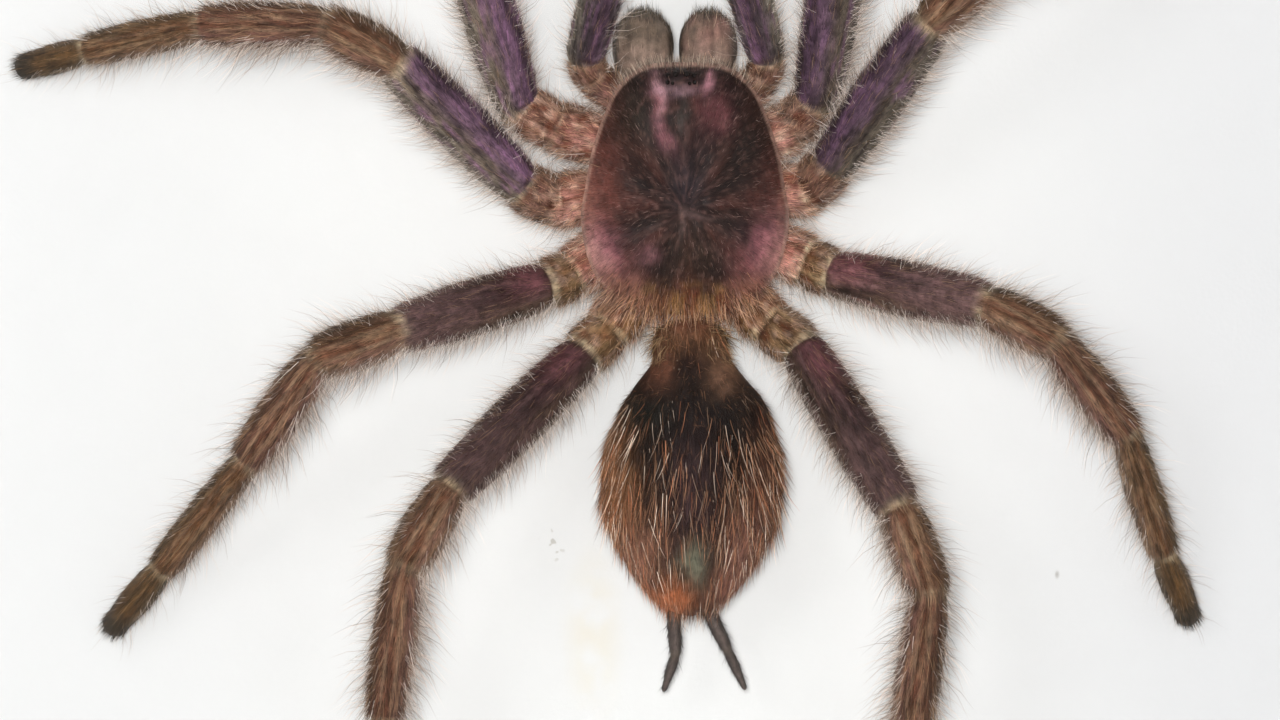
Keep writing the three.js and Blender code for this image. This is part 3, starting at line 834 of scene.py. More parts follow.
# %% [markdown]
# ## Legs and palps
# A tarantula's leg has seven parts: coxa, trochanter, femur, patella, tibia, metatarsus and tarsus. The legs
# arch up to the patella and come down to the board at the tarsus. Each part swells between two narrower
# joints, where a band of cream membrane shows. Every leg is one skin that is drawn along a line through its
# joints, given here one leg at a time.

# %% Joints of the legs
LEG_PARTS = ("coxa", "trochanter", "femur", "patella", "tibia", "metatarsus", "tarsus")
LEG_SIZES = {
    "coxa": (2.74, 0.92), "trochanter": (2.6, 0.88), "femur": (2.75, 0.74), "patella": (2.45, 0.74),
    "tibia": (2.25, 0.68), "metatarsus": (1.85, 0.7), "tarsus": (1.6, 0.74),
}
LEGS = {
    "leg_1_left": [
        (-6.0, 4.0, 3.8), (-13.0, 5.7, 4.4), (-16.7, 7.8, 5.6), (-22.2, 26.0, 15.0),
        (-23.8, 34.9, 16.4), (-26.7, 50.0, 11.0), (-29.8, 63.3, 4.2), (-31.6, 70.8, 1.9),
    ],
    "leg_2_left": [
        (-7.0, -0.6, 3.8), (-13.2, -1.8, 4.4), (-16.4, 0.0, 5.6), (-28.6, 12.1, 15.0),
        (-35.6, 15.8, 16.2), (-48.2, 15.9, 10.2), (-60.0, 13.4, 4.2), (-67.2, 11.6, 1.9),
    ],
    "leg_3_left": [
        (-6.5, -5.2, 3.8), (-11.2, -8.9, 4.4), (-13.9, -10.0, 5.6), (-28.5, -14.5, 14.2),
        (-36.6, -17.4, 15.4), (-43.7, -27.6, 10.0), (-52.4, -38.5, 4.2), (-57.9, -45.0, 1.9),
    ],
    "leg_4_left": [
        (-3.2, -8.4, 3.8), (-7.5, -14.4, 4.4), (-10.1, -16.9, 5.6), (-23.4, -30.2, 14.6),
        (-27.9, -37.9, 15.8), (-30.0, -53.1, 11.0), (-31.0, -71.6, 4.2), (-31.6, -80.2, 1.9),
    ],
    "leg_1_right": [
        (6.0, 4.0, 3.8), (10.8, 5.8, 4.4), (13.1, 8.1, 5.6), (16.1, 26.6, 15.0),
        (17.0, 35.7, 16.4), (19.3, 50.9, 11.0), (22.4, 64.2, 4.2), (24.4, 71.6, 1.9),
    ],
    "leg_2_right": [
        (7.0, -0.6, 3.8), (12.2, -0.6, 4.4), (14.6, 1.9, 5.6), (24.2, 15.8, 15.0),
        (30.0, 21.2, 16.2), (41.8, 26.6, 10.2), (53.5, 29.6, 4.2), (60.8, 30.8, 1.9),
    ],
    "leg_3_right": [
        (6.5, -5.2, 3.8), (12.2, -7.7, 4.4), (14.7, -8.9, 5.6), (29.9, -12.0, 14.2),
        (36.7, -15.5, 15.4), (43.9, -24.7, 10.0), (47.9, -37.0, 4.2), (50.8, -44.2, 1.9),
    ],
    "leg_4_right": [
        (3.2, -8.4, 3.8), (8.2, -13.8, 4.4), (11.6, -16.2, 5.6), (21.2, -32.2, 14.6),
        (24.3, -40.5, 15.8), (22.4, -55.2, 11.0), (22.8, -73.6, 4.2), (23.4, -81.8, 1.9),
    ],
}
PALP_PARTS = ("coxa", "trochanter", "femur", "patella", "palp_tibia", "bulb")
PALP_SIZES = {
    "coxa": (2.0, 0.84), "trochanter": (1.95, 0.86), "femur": (2.15, 0.8), "patella": (2.2, 0.74),
    "palp_tibia": (2.35, 0.7), "bulb": (1.85, 0.74),
}
PALPS = {
    "pedipalp_left": [
        (-5.0, 7.9, 5.2), (-9.1, 10.5, 6.1), (-10.1, 12.4, 7.2), (-7.4, 22.6, 13.2),
        (-5.4, 28.2, 13.0), (-4.6, 36.4, 7.4), (-4.9, 40.4, 3.4),
    ],
    "pedipalp_right": [
        (5.0, 7.9, 5.2), (7.6, 10.5, 6.3), (8.3, 12.4, 7.2), (5.3, 22.8, 13.2),
        (3.9, 28.4, 13.0), (3.8, 36.6, 7.4), (4.2, 40.6, 3.4),
    ],
}
print("limbs", len(LEGS) + len(PALPS))

# %% [markdown]
# ### Colours of a limb
# Seen from above, a limb's colour changes across it: the side that faces forward, the back and the side that
# faces the rear. A row of stops from -1, the rear side, to 1, the front side, gives each part its colours.
# The two front pairs of femora and the palps are violet with an olive rear side, the hind femora a dark
# maroon. Cream bands mark the joints, and pale lines run along patella and tibia.

# %% Colours across a limb
COATS = {
    "coxa": [(-1, "9c7c6c"), (-0.5, "bf8a7e"), (0.1, "ac7064"), (0.6, "9e7060"), (1, "9a8272")],
    "coxa_rear": [(-1, "745236"), (-0.4, "946a44"), (0.2, "8a5c42"), (0.6, "a0765e"), (1, "98705c")],
    "trochanter_fore": [(-1, "94786a"), (-0.4, "a87c6c"), (0.2, "98685a"), (0.6, "a8806e"),
                        (1, "94786a")],
    "trochanter_hind": [(-1, "8a6e56"), (-0.4, "9c7a54"), (0.2, "8c6240"), (0.6, "b08e6e"),
                        (1, "98806e")],
    "femur_fore": [(-1, "6a6257"), (-0.65, "85796a"), (-0.3, "6e6055"), (0, "6b5660"), (0.3, "765a6c"),
                   (0.6, "664c60"), (0.85, "46343f"), (1, "64555a")],
    "femur_hind": [(-1, "6c5c50"), (-0.7, "665044"), (-0.35, "563f3a"), (0, "4a3332"), (0.4, "523a3c"),
                   (0.75, "44322e"), (1, "5a4a44")],
    "femur_palp": [(-1, "857e70"), (-0.7, "6c645a"), (-0.4, "544a48"), (0, "46383e"), (0.4, "543c4c"),
                   (0.7, "5e4e56"), (1, "6c6262")],
    "patella": [(-1, "9e8474"), (-0.6, "946e5e"), (-0.2, "7c523e"), (0.2, "7c503a"), (0.6, "72503e"),
                (1, "625040")],
    "tibia": [(-1, "907466"), (-0.6, "886256"), (-0.2, "744a38"), (0.2, "784c3a"), (0.5, "765040"),
              (0.8, "604434"), (1, "6e5848")],
    "metatarsus": [(-1, "88705c"), (-0.6, "80604a"), (-0.2, "6c462a"), (0.3, "704a30"), (0.7, "62482f"),
                   (1, "64523e")],
    "tarsus": [(-1, "645644"), (-0.4, "664a2f"), (0.2, "705130"), (0.6, "64492f"), (1, "64523e")],
    "palp_tibia": [(-1, "6a5a4c"), (-0.3, "6d5a55"), (0.3, "66505c"), (1, "40323a")],
    # The bulb's stops are painted shade: lighter in its middle, darker towards both sides
    "bulb": [(-1, "5a4a3e"), (0, "7a5c48"), (1, "5a4436")],
}
# Long narrow streaks over a part: a lighter and a darker colour
STREAKS = {
    "femur_fore": ("8f6886", "382a30"), "femur_hind": ("785a58", "261c1b"),
    "femur_palp": ("75546c", "2a2226"), "coxa": ("c08c7e", "5c3020"), "coxa_rear": ("b08a5c", "4a2a14"),
    "trochanter_fore": ("b98a70", "54301f"), "trochanter_hind": ("c9a67c", "4a2c16"),
    "patella": ("a07f62", "45301f"), "tibia": ("a27e62", "432e22"), "metatarsus": ("95785a", "41301f"),
    "tarsus": ("7c6548", "32281c"), "palp_tibia": ("8a7068", "33282c"), "bulb": ("93745a", "3f2e22"),
}
MEMBRANE = "d8c3a0"
STRIPE = "bda083"
# How strongly the membrane shows at the outer end of each part
BANDS = {"coxa": 0.35, "trochanter": 0.5, "femur": 0.7, "patella": 0.4, "tibia": 0.85,
         "metatarsus": 0.8, "palp_tibia": 0.5}
HIND_BANDS = {"coxa": 0.85, "trochanter": 1.0}
BAND_WIDTH = 0.34
BARE_WIDTH = 0.6
# Dark lines beside the membrane of the two innermost joints
RIM_AWAY, RIM_WIDTH = 0.72, 0.22
STRIPED = {"patella": 0.6, "tibia": 0.45, "metatarsus": 0.25}
HAIR_REACH = {"coxa": 0.9, "trochanter": 0.8, "femur": 0.9, "patella": 1.05, "tibia": 1.1,
              "metatarsus": 0.9, "tarsus": 0.7, "palp_tibia": 1.0, "bulb": 0.8}
FRINGES = {"coxa": 0.7, "trochanter": 0.7, "femur": 1.0, "femur_palp": 0.4, "patella": 1.0, "tibia": 1.0,
           "metatarsus": 0.8, "tarsus": 0.5, "palp_tibia": 0.8, "bulb": 0.5}
# How light coxa, trochanter and femur are, limb by limb
PART_TONES = {
    "leg_1_left": (1.2, 1.28, 1.4), "leg_2_left": (1.55, 0.85, 1.45), "leg_3_left": (1.65, 0.85, 1.15),
    "leg_4_left": (1.3, 1.05, 0.85), "leg_1_right": (1.35, 0.85, 1.0), "leg_2_right": (1.45, 0.8, 0.85),
    "leg_3_right": (1.55, 0.95, 1.4), "leg_4_right": (1.25, 0.85, 0.9),
    "pedipalp_left": (0.65, 1.0, 1.45), "pedipalp_right": (1.0, 1.0, 1.6),
}
PILE_DEPTH = 0.08


def limb_line(joints):
    """Points of the joints in metres and their distance along the limb in millimetres."""
    spots = on_board(joints)
    steps = np.linalg.norm(np.diff(spots, axis=0), axis=1) / MM
    return spots, np.concatenate([[0.0], np.cumsum(steps)])


def walk(spots, marks, distance, ease=0.9):
    """Places along a line whose corners are eased."""
    near = [np.stack([np.interp(distance + shift, marks, spots[:, k]) for k in range(3)], -1)
            for shift in (-ease, 0, ease)]
    middle = (near[0] + 2 * near[1] + near[2]) / 4
    along = near[2] - near[0]
    along /= np.linalg.norm(along, axis=-1, keepdims=True)
    return middle, along


def frame_round(along):
    across = np.cross(along, OUTWARD)
    across /= np.linalg.norm(across, axis=-1, keepdims=True)
    return across, np.cross(across, along)


def tube(spots, marks, distance, width, sides, flatness, ease=0.9):
    """Rings round a line: its direction, each point's side and upward part, and its grid once swollen."""
    middle, along = walk(spots, marks, distance, ease)
    across, up = frame_round(along)
    turn = np.linspace(-np.pi, np.pi, sides, endpoint=False)
    side = np.broadcast_to(np.sin(turn), (len(distance), sides))
    over = np.broadcast_to(np.cos(turn), side.shape)
    outward = across[:, None] * side[..., None] + up[:, None] * over[..., None] * flatness

    def swollen(swell=1.0):
        return middle[:, None] + outward * (width[:, None] * swell)[..., None] * MM

    return along, side, over, swollen


# %% Skin of a limb
RING_STEP = 0.42
LIMB_SIDES = 44
FLATNESS = 0.94
TIP_TAPER = 0.16
LIMB_CAP_RINGS = 7
UNROLLED = 2.5           # millimetres round a limb, as its streaks see them
STREAK_STRETCH = 0.12
MOST_LIGHT = 0.9


def limb_widths(distance, marks, parts, sizes):
    """Half width, part number and share of that part at each distance along a limb."""
    part = np.clip(np.searchsorted(marks, distance, side="right") - 1, 0, len(parts) - 1)
    tip = sizes[parts[-1]][0]
    ends = marks.copy()
    ends[-1] -= tip
    share = np.clip((distance - marks[part]) / (ends[part + 1] - marks[part]), 0, 1)
    radius = np.array([sizes[name][0] for name in parts])[part]
    neck = np.array([sizes[name][1] for name in parts])[part]
    swell = np.sin(np.pi * share) ** 0.4
    swell = np.where((part == len(parts) - 1) & (share > 0.5), 1.0, swell)
    width = radius * (neck + (1 - neck) * swell) - PILE_DEPTH
    width = np.where(part == len(parts) - 1, width * (1 - TIP_TAPER * soft(share, 0.45, 1.0)), width)
    past = np.clip((distance - ends[-1]) / tip, 0, 1)
    return width * np.sqrt(np.maximum(1 - past ** 2, 0)), part, share


def limb(name, joints, parts, sizes, hind, seed):
    spots, marks = limb_line(joints)
    tip = sizes[parts[-1]][0]
    body = np.arange(0.15, marks[-1] - tip, RING_STEP)
    cap = marks[-1] - tip * (1 - np.sin(np.linspace(0.05, 0.47, LIMB_CAP_RINGS) * np.pi))
    distance = np.concatenate([body, cap])
    width, part, share = limb_widths(distance, marks, parts, sizes)
    along, side, over, swollen = tube(spots, marks, distance, width, LIMB_SIDES, FLATNESS)
    bands = np.zeros_like(distance)
    bare = np.zeros_like(distance)
    for number, label in enumerate(parts[:-1]):
        strength = HIND_BANDS.get(label, BANDS[label]) if hind else BANDS[label]
        bands += strength * hump(distance, marks[number + 1], BAND_WIDTH)
        bare += strength * hump(distance, marks[number + 1], BARE_WIDTH)
    lumps = hum(swollen(), 0.35, seed)
    unrolled = np.stack([side * UNROLLED * MM, over * UNROLLED * MM,
                         np.broadcast_to(distance[:, None] * STREAK_STRETCH * MM, side.shape)], -1)
    ridges = hum(unrolled, 1.1, seed + 3)
    streaks = hum(unrolled, 2.3, seed + 4)
    grid = swollen(1 + 0.03 * lumps + 0.035 * ridges - 0.10 * bands[:, None])
    facing = side if name.endswith("left") else -side
    looks = {"femur": "femur_hind" if hind else "femur_fore",
             "trochanter": "trochanter_hind" if hind else "trochanter_fore"}
    if name.startswith("pedipalp"):
        looks["femur"] = "femur_palp"
    if name.startswith("leg_4"):
        looks["coxa"] = "coxa_rear"
    from_joint = np.minimum(np.abs(distance - marks[1]), np.abs(distance - marks[2]))
    dark_rims = (from_joint - RIM_AWAY) / RIM_WIDTH
    coat, pile, fringe, reach = limb_groom(grid, parts, part, share, facing, over, bands, bare,
                                           dark_rims, streaks, looks, seed)
    for number, tone in enumerate(PART_TONES[name]):
        coat[part == number] *= tone
    coat = np.clip(coat, 0, MOST_LIGHT)
    rough = (part < 2).astype(float)[:, None] * pile
    guard = pile * (1 - 0.75 * soft(-facing, 0.35, 0.85))
    nap = np.broadcast_to(along[:, None], grid.shape)
    return skin_from_rings(f"{name}_skin", grid, {
        "coat": coat, "nap": nap, "pile": pile, "fringe": fringe, "rough": rough,
        "guard": guard, "reach": reach,
    }, leg_skin)


print("limb sides", LIMB_SIDES)

# %% Groom of a limb
STRIPE_PLACES, STRIPE_WIDTH = (-0.28, 0.24), 0.07


def limb_groom(grid, parts, part, share, facing, over, bands, bare, dark_rims, streaks, looks, seed):
    """Coat colour, density of pile, density of fringe and hair length over a limb."""
    coat = np.zeros((*facing.shape, 3))
    fringe = np.zeros(facing.shape)
    reach = np.zeros(facing.shape)
    lines = np.zeros(facing.shape)
    for number, label in enumerate(parts):
        here = part == number
        key = looks.get(label, label)
        wobble = facing[here] + 0.14 * hum(grid[here], 0.5, seed + 9)
        light, dark = STREAKS[key]
        coat[here] = across_colours(wobble, COATS[key])
        coat[here] = tint(coat[here], 0.75 * soft(streaks[here], 0.05, 0.55), light)
        coat[here] = tint(coat[here], 0.75 * soft(-streaks[here], 0.05, 0.5), dark)
        reach[here] = HAIR_REACH[label]
        fringe[here] = FRINGES.get(key, FRINGES[label])
        pair = sum(hump(wobble, place, STRIPE_WIDTH) for place in STRIPE_PLACES)
        fade = soft(share[here], 0.04, 0.2) * (1 - soft(share[here], 0.8, 0.96))
        lines[here] = STRIPED.get(label, 0) * pair * fade[:, None]
        if key == "femur_hind":
            near = hump(share[here], 0.14, 0.16)[:, None] * soft(facing[here], -0.6, 0.2)
            coat[here] = tint(coat[here], 0.6 * near, "8a555a")
            outer = soft(share[here], 0.35, 0.8)[:, None] * np.ones_like(wobble)
            coat[here] = tint(coat[here], 0.6 * outer, "785c5a")
        if label in ("coxa", "trochanter"):
            tufts = soft(hum(grid[here], 0.8, seed + 5), 0.05, 0.45)
            coat[here] = tint(coat[here], 0.75 * tufts, "743620")
            pale = soft(hum(grid[here], 1.1, seed + 7), 0.15, 0.45)
            coat[here] = tint(coat[here], 0.7 * pale, "dcb6a0")
        if label == "tarsus":
            tip = soft(share[here], 0.7, 1.0)[:, None] * np.ones_like(wobble)
            coat[here] = tint(coat[here], 0.8 * tip, "3a3630")
    coat = tint(coat, lines * soft(over, 0.0, 0.4), STRIPE)
    ragged = np.clip(0.7 + 1.1 * hum(grid, 0.9, seed + 6), 0.1, 1)
    coat = tint(coat, 0.95 * np.clip(bands, 0, 1)[:, None] * ragged, MEMBRANE)
    rim = hump(dark_rims, 0.0, 1.0)[:, None] * (part < 3)[:, None] * ragged
    coat = tint(coat, 0.65 * rim, "3c2212")
    coat = coat * (1 + 0.4 * hum(grid, 0.9, seed + 1) + 0.42 * hum(grid, 2.2, seed + 2))[..., None]
    pile = (0.45 + 0.55 * soft(over, -0.5, 0.1)) * (1 - 0.8 * np.clip(bare, 0, 1)[:, None] * ragged)
    edges = soft(np.abs(facing), 0.5, 0.95)
    rear = 0.5 + 0.5 * soft(-facing, -0.2, 0.6)
    return np.clip(coat, 0, 1), pile, fringe * edges * rear, reach


LEG_LAYERS = [
    layer("pile", 13.0, 1.0, 0.036, 0.24, 0.2, clumps=0.5),
    layer("guard", 3.0, 1.7, 0.014, 0.38, 0.22, 2, (0.6, "2a1c15", "c09a74"), clumps=0.4, bend=0.22),
    layer("rough", 9.0, 1.0, 0.034, 0.3, 0.6, 1, (0.75, "4c2612", "e3b893"), clumps=0.8),
    layer("fringe", 12.0, 1.7, 0.011, 0.7, 0.35, 1, (0.9, "cdb49e", "f8eee6"), pale_hair, clumps=0.35),
    layer("fringe", 3.4, 3.8, 0.0062, 0.66, 0.25, 2, (0.9, "caac96", "f6e8de"), pale_hair,
          clumps=0.35, bend=0.3),
]
leg_coat = coat_tree("leg_coat", LEG_LAYERS)
leg_seeds = {name: 10 * number for number, name in enumerate([*LEGS, *PALPS])}
for limbs, parts, sizes, slot in ((LEGS, LEG_PARTS, LEG_SIZES, "leg_hair"),
                                  (PALPS, PALP_PARTS, PALP_SIZES, "palp_hair")):
    for name, joints in limbs.items():
        hind = name.startswith(("leg_3", "leg_4"))
        skin = limb(name, joints, parts, sizes, hind, leg_seeds[name])
        settle_coated(skin, name, slot, leg_coat, leg_seeds[name])
print("limbs made")

# %% [markdown]
# ## Carapace
# The shield over head and legs is one hard plate with a pit in the middle, the fovea, from which shallow
# furrows run out like rays, and a small mound at the front that carries eight eyes. Its dark velvet turns
# pink towards the rear sides, and orange-brown hair hangs over the rear edge. Rings of points go from the
# fovea out to the rim and back below it.

# %% Carapace: outline and height
CARAPACE_HALF = [
    (0.0, 12.2), (4.0, 11.9), (6.7, 9.9), (8.1, 7.0), (9.3, 3.4), (10.0, -0.4),
    (10.4, -3.2), (9.9, -6.7), (8.7, -9.5), (6.6, -11.5), (3.4, -12.6), (0.0, -12.8),
]
CARAPACE_SIDES = 144
FOVEA_ALONG = -2.6
STERNUM, RIM, FRONT_LIFT, CROWN, HEAD_RISE = 2.0, 6.8, 1.6, 10.8, 2.0
# The head's rise: its middle along, half length and half width
HEAD_ALONG, HEAD_LENGTH, HEAD_WIDTH = 5.5, 5.0, 4.6
FURROWS, FURROW_DEPTH, FURROW_STRETCH = 8, 0.3, 1.1
PIT_WIDTH, PIT_LENGTH, PIT_DEPTH = 1.5, 1.1, 1.1
CURVE_STEPS = 24
EYE_MOUND = {"across": -0.4, "along": 10.2, "height": 9.9, "width": 2.0, "length": 1.4, "rise": 1.5}


def closed_curve(points, count):
    """Points spaced evenly along a smooth closed curve through the given ones."""
    whole = np.array(points)
    fine = []
    for i in range(len(whole)):
        a, b, c, d = (whole[(i + k) % len(whole)] for k in (-1, 0, 1, 2))
        t = np.linspace(0, 1, CURVE_STEPS, endpoint=False)[:, None]
        fine.append(0.5 * (2 * b + (c - a) * t + (2 * a - 5 * b + 4 * c - d) * t ** 2
                           + (3 * b - a - 3 * c + d) * t ** 3))
    fine = np.concatenate([*fine, whole[:1]])
    marks = np.concatenate([[0], np.cumsum(np.linalg.norm(np.diff(fine, axis=0), axis=1))])
    at = np.linspace(0, marks[-1], count, endpoint=False)
    return np.stack([np.interp(at, marks, fine[:, k]) for k in range(2)], -1)


def rim_height(turn):
    return RIM + FRONT_LIFT * np.maximum(0, np.cos(turn)) ** 3


def shield_height(reach, turn, across, along):
    dome = 1 - reach ** (3.2 + 4 * np.maximum(0, np.cos(turn)) ** 2)
    head = np.exp(-((along - HEAD_ALONG) / HEAD_LENGTH) ** 2 - (across / HEAD_WIDTH) ** 2)
    furrow = np.cos(turn * FURROWS) * np.sin(np.pi * np.minimum(1, reach * FURROW_STRETCH)) ** 2
    pit = np.exp(-(across / PIT_WIDTH) ** 2 - ((along - FOVEA_ALONG) / PIT_LENGTH) ** 2)
    rim = rim_height(turn)
    height = rim + (CROWN - rim) * dome + HEAD_RISE * head * dome
    height = height + FURROW_DEPTH * furrow - PIT_DEPTH * pit
    away = (((across - EYE_MOUND["across"]) / EYE_MOUND["width"]) ** 2
            + ((along - EYE_MOUND["along"]) / EYE_MOUND["length"]) ** 2)
    mound = EYE_MOUND["height"] + EYE_MOUND["rise"] * np.sqrt(np.maximum(0, 1 - away))
    return np.where(away < 1, np.maximum(height, mound), height)


mirrored = [(-across, along) for across, along in CARAPACE_HALF[1:-1]][::-1]
rim_line = closed_curve(CARAPACE_HALF + mirrored, CARAPACE_SIDES)
print("rim", CARAPACE_SIDES, "points, widest", rim_line[:, 0].max().round(2), "mm")

# %% Carapace: skin
FINE_RAYS = 17
UPPER_RINGS, LOWER_RINGS = 46, 14
# Patches of colour: across, along, half width, half length, turn in degrees, colour, share
SHIELD_PATCHES = [
    (-8.3, 0.5, 2.2, 7.0, 0, "7c463c", 0.8),
    (8.7, 0.0, 1.8, 6.0, 0, "62362e", 0.7),
    (-5.2, 6.4, 2.4, 3.0, 15, "2f2a22", 0.8),
    (5.8, 5.4, 2.8, 4.4, -12, "251e19", 0.85),
    (-2.7, 8.2, 0.7, 2.8, 8, "a8686e", 0.75),
    (-1.8, 4.6, 0.6, 1.8, 22, "a86c76", 0.6),
    (2.9, 7.0, 1.7, 2.2, -10, "824a4e", 0.75),
    (-0.2, 7.0, 0.8, 3.0, 0, "3a3d3a", 0.75),
    (0.2, 0.2, 1.7, 3.6, 0, "3a3238", 0.75),
    (-8.3, -6.6, 1.7, 2.8, 25, "b0707a", 0.85),
    (-3.6, -7.0, 1.2, 0.9, 0, "9c6a70", 0.6),
    (-5.6, -9.2, 2.2, 1.3, -20, "8a5450", 0.6),
    (8.0, -6.4, 1.9, 3.0, -25, "b4727a", 0.9),
    (6.0, -8.8, 2.0, 1.5, 15, "8c5450", 0.55),
    (-9.8, -1.5, 1.0, 4.5, 0, "b4786a", 0.75),
    # Paler centre of the rear left pink patch: a painted highlight on its pink
    (-9.2, -7.2, 1.3, 2.4, 22, "dca49c", 0.85),
    (9.9, -2.5, 0.7, 3.2, 0, "9c665a", 0.6),
    # Paler centre of the rear right pink patch: a painted highlight on its pink
    (9.3, -6.8, 1.2, 2.4, -22, "cc938c", 0.8),
    (0.4, -7.0, 2.6, 3.0, 0, "38271c", 0.85),
    (0.2, -11.9, 6.6, 1.5, 0, "8c5a3c", 0.85),
    (-5.8, -10.6, 2.4, 1.2, -30, "b07c68", 0.8),
    (5.8, -10.6, 2.4, 1.2, 30, "a87460", 0.8),
    (0.0, -3.4, 0.25, 1.0, 0, "a08078", 0.6),
    (1.3, -3.3, 1.5, 0.28, 0, "967470", 0.5),
    (-0.6, 9.3, 1.9, 0.6, 0, "94747c", 0.85),
    # Painted highlight on the pink strip beside the eye mound
    (-2.35, 7.1, 0.4, 1.2, 0, "cc9aa0", 0.6),
    # Pink V-marks beside the eye mound, brightened to white-pink as painted highlights
    (-2.7, 9.7, 0.42, 1.25, 16, "f4bcc6", 1.0),
    (2.25, 10.0, 0.42, 0.9, 0, "dc9ca8", 0.95),
]


def shield_colours(across, along, reach, turn, grid):
    coat = np.ones((*across.shape, 3)) * np.array(linear("34231f"))
    # Painted shade and light: the colour darkens in the furrows of the shield's shape and turns a lighter
    # red-brown on the ridges between them
    rays = np.cos(turn * FURROWS + 0.6 * hum(grid, 0.25, 71)) * soft(reach, 0.12, 0.4)
    coat = tint(coat, 0.5 * soft(rays, 0.1, 0.9), "5e342c")
    coat = tint(coat, 0.6 * soft(-rays, 0.2, 0.9), "16100e")
    grain = hum(grid, 1.7, 79)
    drift_x = across + 0.5 * hum(grid, 0.5, 70) + 0.25 * grain
    drift_y = along + 0.6 * hum(grid, 0.5, 72) - 0.25 * grain
    for x, y, wide, long, degrees, code, share in SHIELD_PATCHES:
        angle = math.radians(degrees)
        right = (drift_x - x) * math.cos(angle) + (drift_y - y) * math.sin(angle)
        ahead = (drift_y - y) * math.cos(angle) - (drift_x - x) * math.sin(angle)
        coat = tint(coat, share * np.exp(-(right / wide) ** 2 - (ahead / long) ** 2), code)
    brow = np.exp(-((across + 0.5) / 2.45) ** 4 - ((along - 11.0) / 1.05) ** 4)
    coat = tint(coat, 0.97 * brow, "1c0e10")
    rusty = soft(hum(grid, 0.7, 76), 0.05, 0.4) * soft(-along, 9.0, 12.0)
    coat = tint(coat, 0.7 * rusty, "84402c")
    golden = soft(hum(grid, 0.8, 78), 0.05, 0.4) * soft(-along, 9.0, 12.0)
    coat = tint(coat, 0.7 * golden, "c0945c")
    burst = soft(np.cos(turn * FINE_RAYS + 3 * hum(grid, 0.6, 75)), 0.55, 0.95)
    coat = tint(coat, 0.3 * burst * hump(reach, 0.3, 0.22), "7c5a54")
    coat = tint(coat, 0.85 * soft(reach, 0.955, 0.98), "bb9484")
    flecks = soft(hum(grid, 2.4, 77), 0.2, 0.5)
    coat = tint(coat, 0.35 * flecks, "8c645c")
    return np.clip(coat * (1 + 0.4 * hum(grid, 0.8, 73) + 0.45 * hum(grid, 2.0, 74))[..., None], 0, 1)


def carapace_skin():
    upper = np.sin(np.linspace(0.03, 1, UPPER_RINGS) * np.pi / 2)
    lower = np.sin(np.linspace(0.97, 0.06, LOWER_RINGS) * np.pi / 2)
    reach = np.concatenate([upper, lower])[:, None] * np.ones(CARAPACE_SIDES)
    is_upper = (np.arange(len(reach)) < len(upper))[:, None]
    turn = np.linspace(0, 2 * np.pi, CARAPACE_SIDES, endpoint=False) * np.ones_like(reach)
    across = rim_line[:, 0] * reach
    along = FOVEA_ALONG + (rim_line[:, 1] - FOVEA_ALONG) * reach
    top = shield_height(reach, turn, across, along)
    height = np.where(is_upper, top, STERNUM + (rim_height(turn) - STERNUM) * reach ** 3.5)
    grid = on_board(np.stack([across, along, height], -1))
    wrinkle = 0.10 * hum(grid, 0.5, 61) + 0.05 * hum(grid, 1.6, 62)
    height = height + wrinkle * soft(1 - reach, 0.0, 0.15)
    grid = on_board(np.stack([across, along, height], -1))
    coat = shield_colours(across, along, reach, turn, grid)
    coat = np.where(is_upper[..., None], coat, np.array(linear("5a4034")))
    outward = grid - grid.mean(1, keepdims=True)
    nap = outward / np.maximum(np.linalg.norm(outward, axis=-1, keepdims=True), 1e-9)
    back = soft(-along, -2.0, 6.0) * soft(5.5 - np.abs(across), 0.0, 4.0)
    nap = nap + back[..., None] * np.array([0.0, 0.0, -1.0])
    nap /= np.linalg.norm(nap, axis=-1, keepdims=True)
    pile = np.where(is_upper, 1.0, 0.4) * (1 - 0.85 * hump(across, -0.4, 1.9) * hump(along, 10.3, 1.3))
    rear = soft(-along, 8.2, 11.6)
    pile = pile * (1 - 0.95 * soft(reach, 0.93, 0.97) * (1 - rear))
    edge = soft(reach, 0.86, 0.97) * is_upper
    fringe = edge * (0.06 + rear)
    tuft = is_upper * rear * soft(reach, 0.55, 0.9)
    lengths = 0.7 + 0.9 * soft(-along, 8.5, 12.0) * soft(reach, 0.6, 0.95)
    return skin_from_rings("carapace_skin", grid, {
        "coat": coat, "nap": nap, "pile": pile, "fringe": fringe, "tuft": tuft, "reach": lengths,
        "brow": soft(reach, 0.95, 0.985) * soft(along, 8.2, 10.2),
    }, shell_skin)


SHIELD_LAYERS = [
    layer("pile", 16.0, 0.9, 0.034, 0.10, 0.14, clumps=0.45),
    layer("pile", 4.0, 0.7, 0.04, 0.25, 0.5, 1, (0.6, "2c1c18", "b8968c")),
    layer("tuft", 8.0, 1.1, 0.028, 0.24, 0.55, 2, (0.7, "54301e", "cc9a74"), clumps=0.9, bend=0.2),
    layer("fringe", 15.0, 1.7, 0.02, 0.2, 0.65, 2, (0.55, "5a2e1a", "e8c09c"), clumps=0.9, bend=0.2),
    layer("brow", 24.0, 1.35, 0.026, 0.12, 0.3, 2, (0.9, "8c7868", "d2c0ae"), clumps=0.5, bend=0.2),
]
shield = carapace_skin()
settle_coated(shield, "carapace", "carapace_shell", coat_tree("carapace_coat", SHIELD_LAYERS), 200)
print("carapace", len(shield.data.polygons), "faces")

# %% [markdown]
# ### Eyes
# Eight eyes sit on the mound in two short rows: two round ones in the middle and six smaller ones beside and
# behind them. They are tiny glossy beads, and give the dark mound its glint.

# %% Eyes
EYES = [(-0.55, 0.8, 0.34), (0.55, 0.8, 0.34), (-1.3, 0.65, 0.27), (1.3, 0.65, 0.27),
        (-1.35, -0.05, 0.24), (1.35, -0.05, 0.24), (-0.85, -0.15, 0.2), (0.85, -0.15, 0.2)]
BEAD_RINGS, BEAD_SIDES = 7, 12


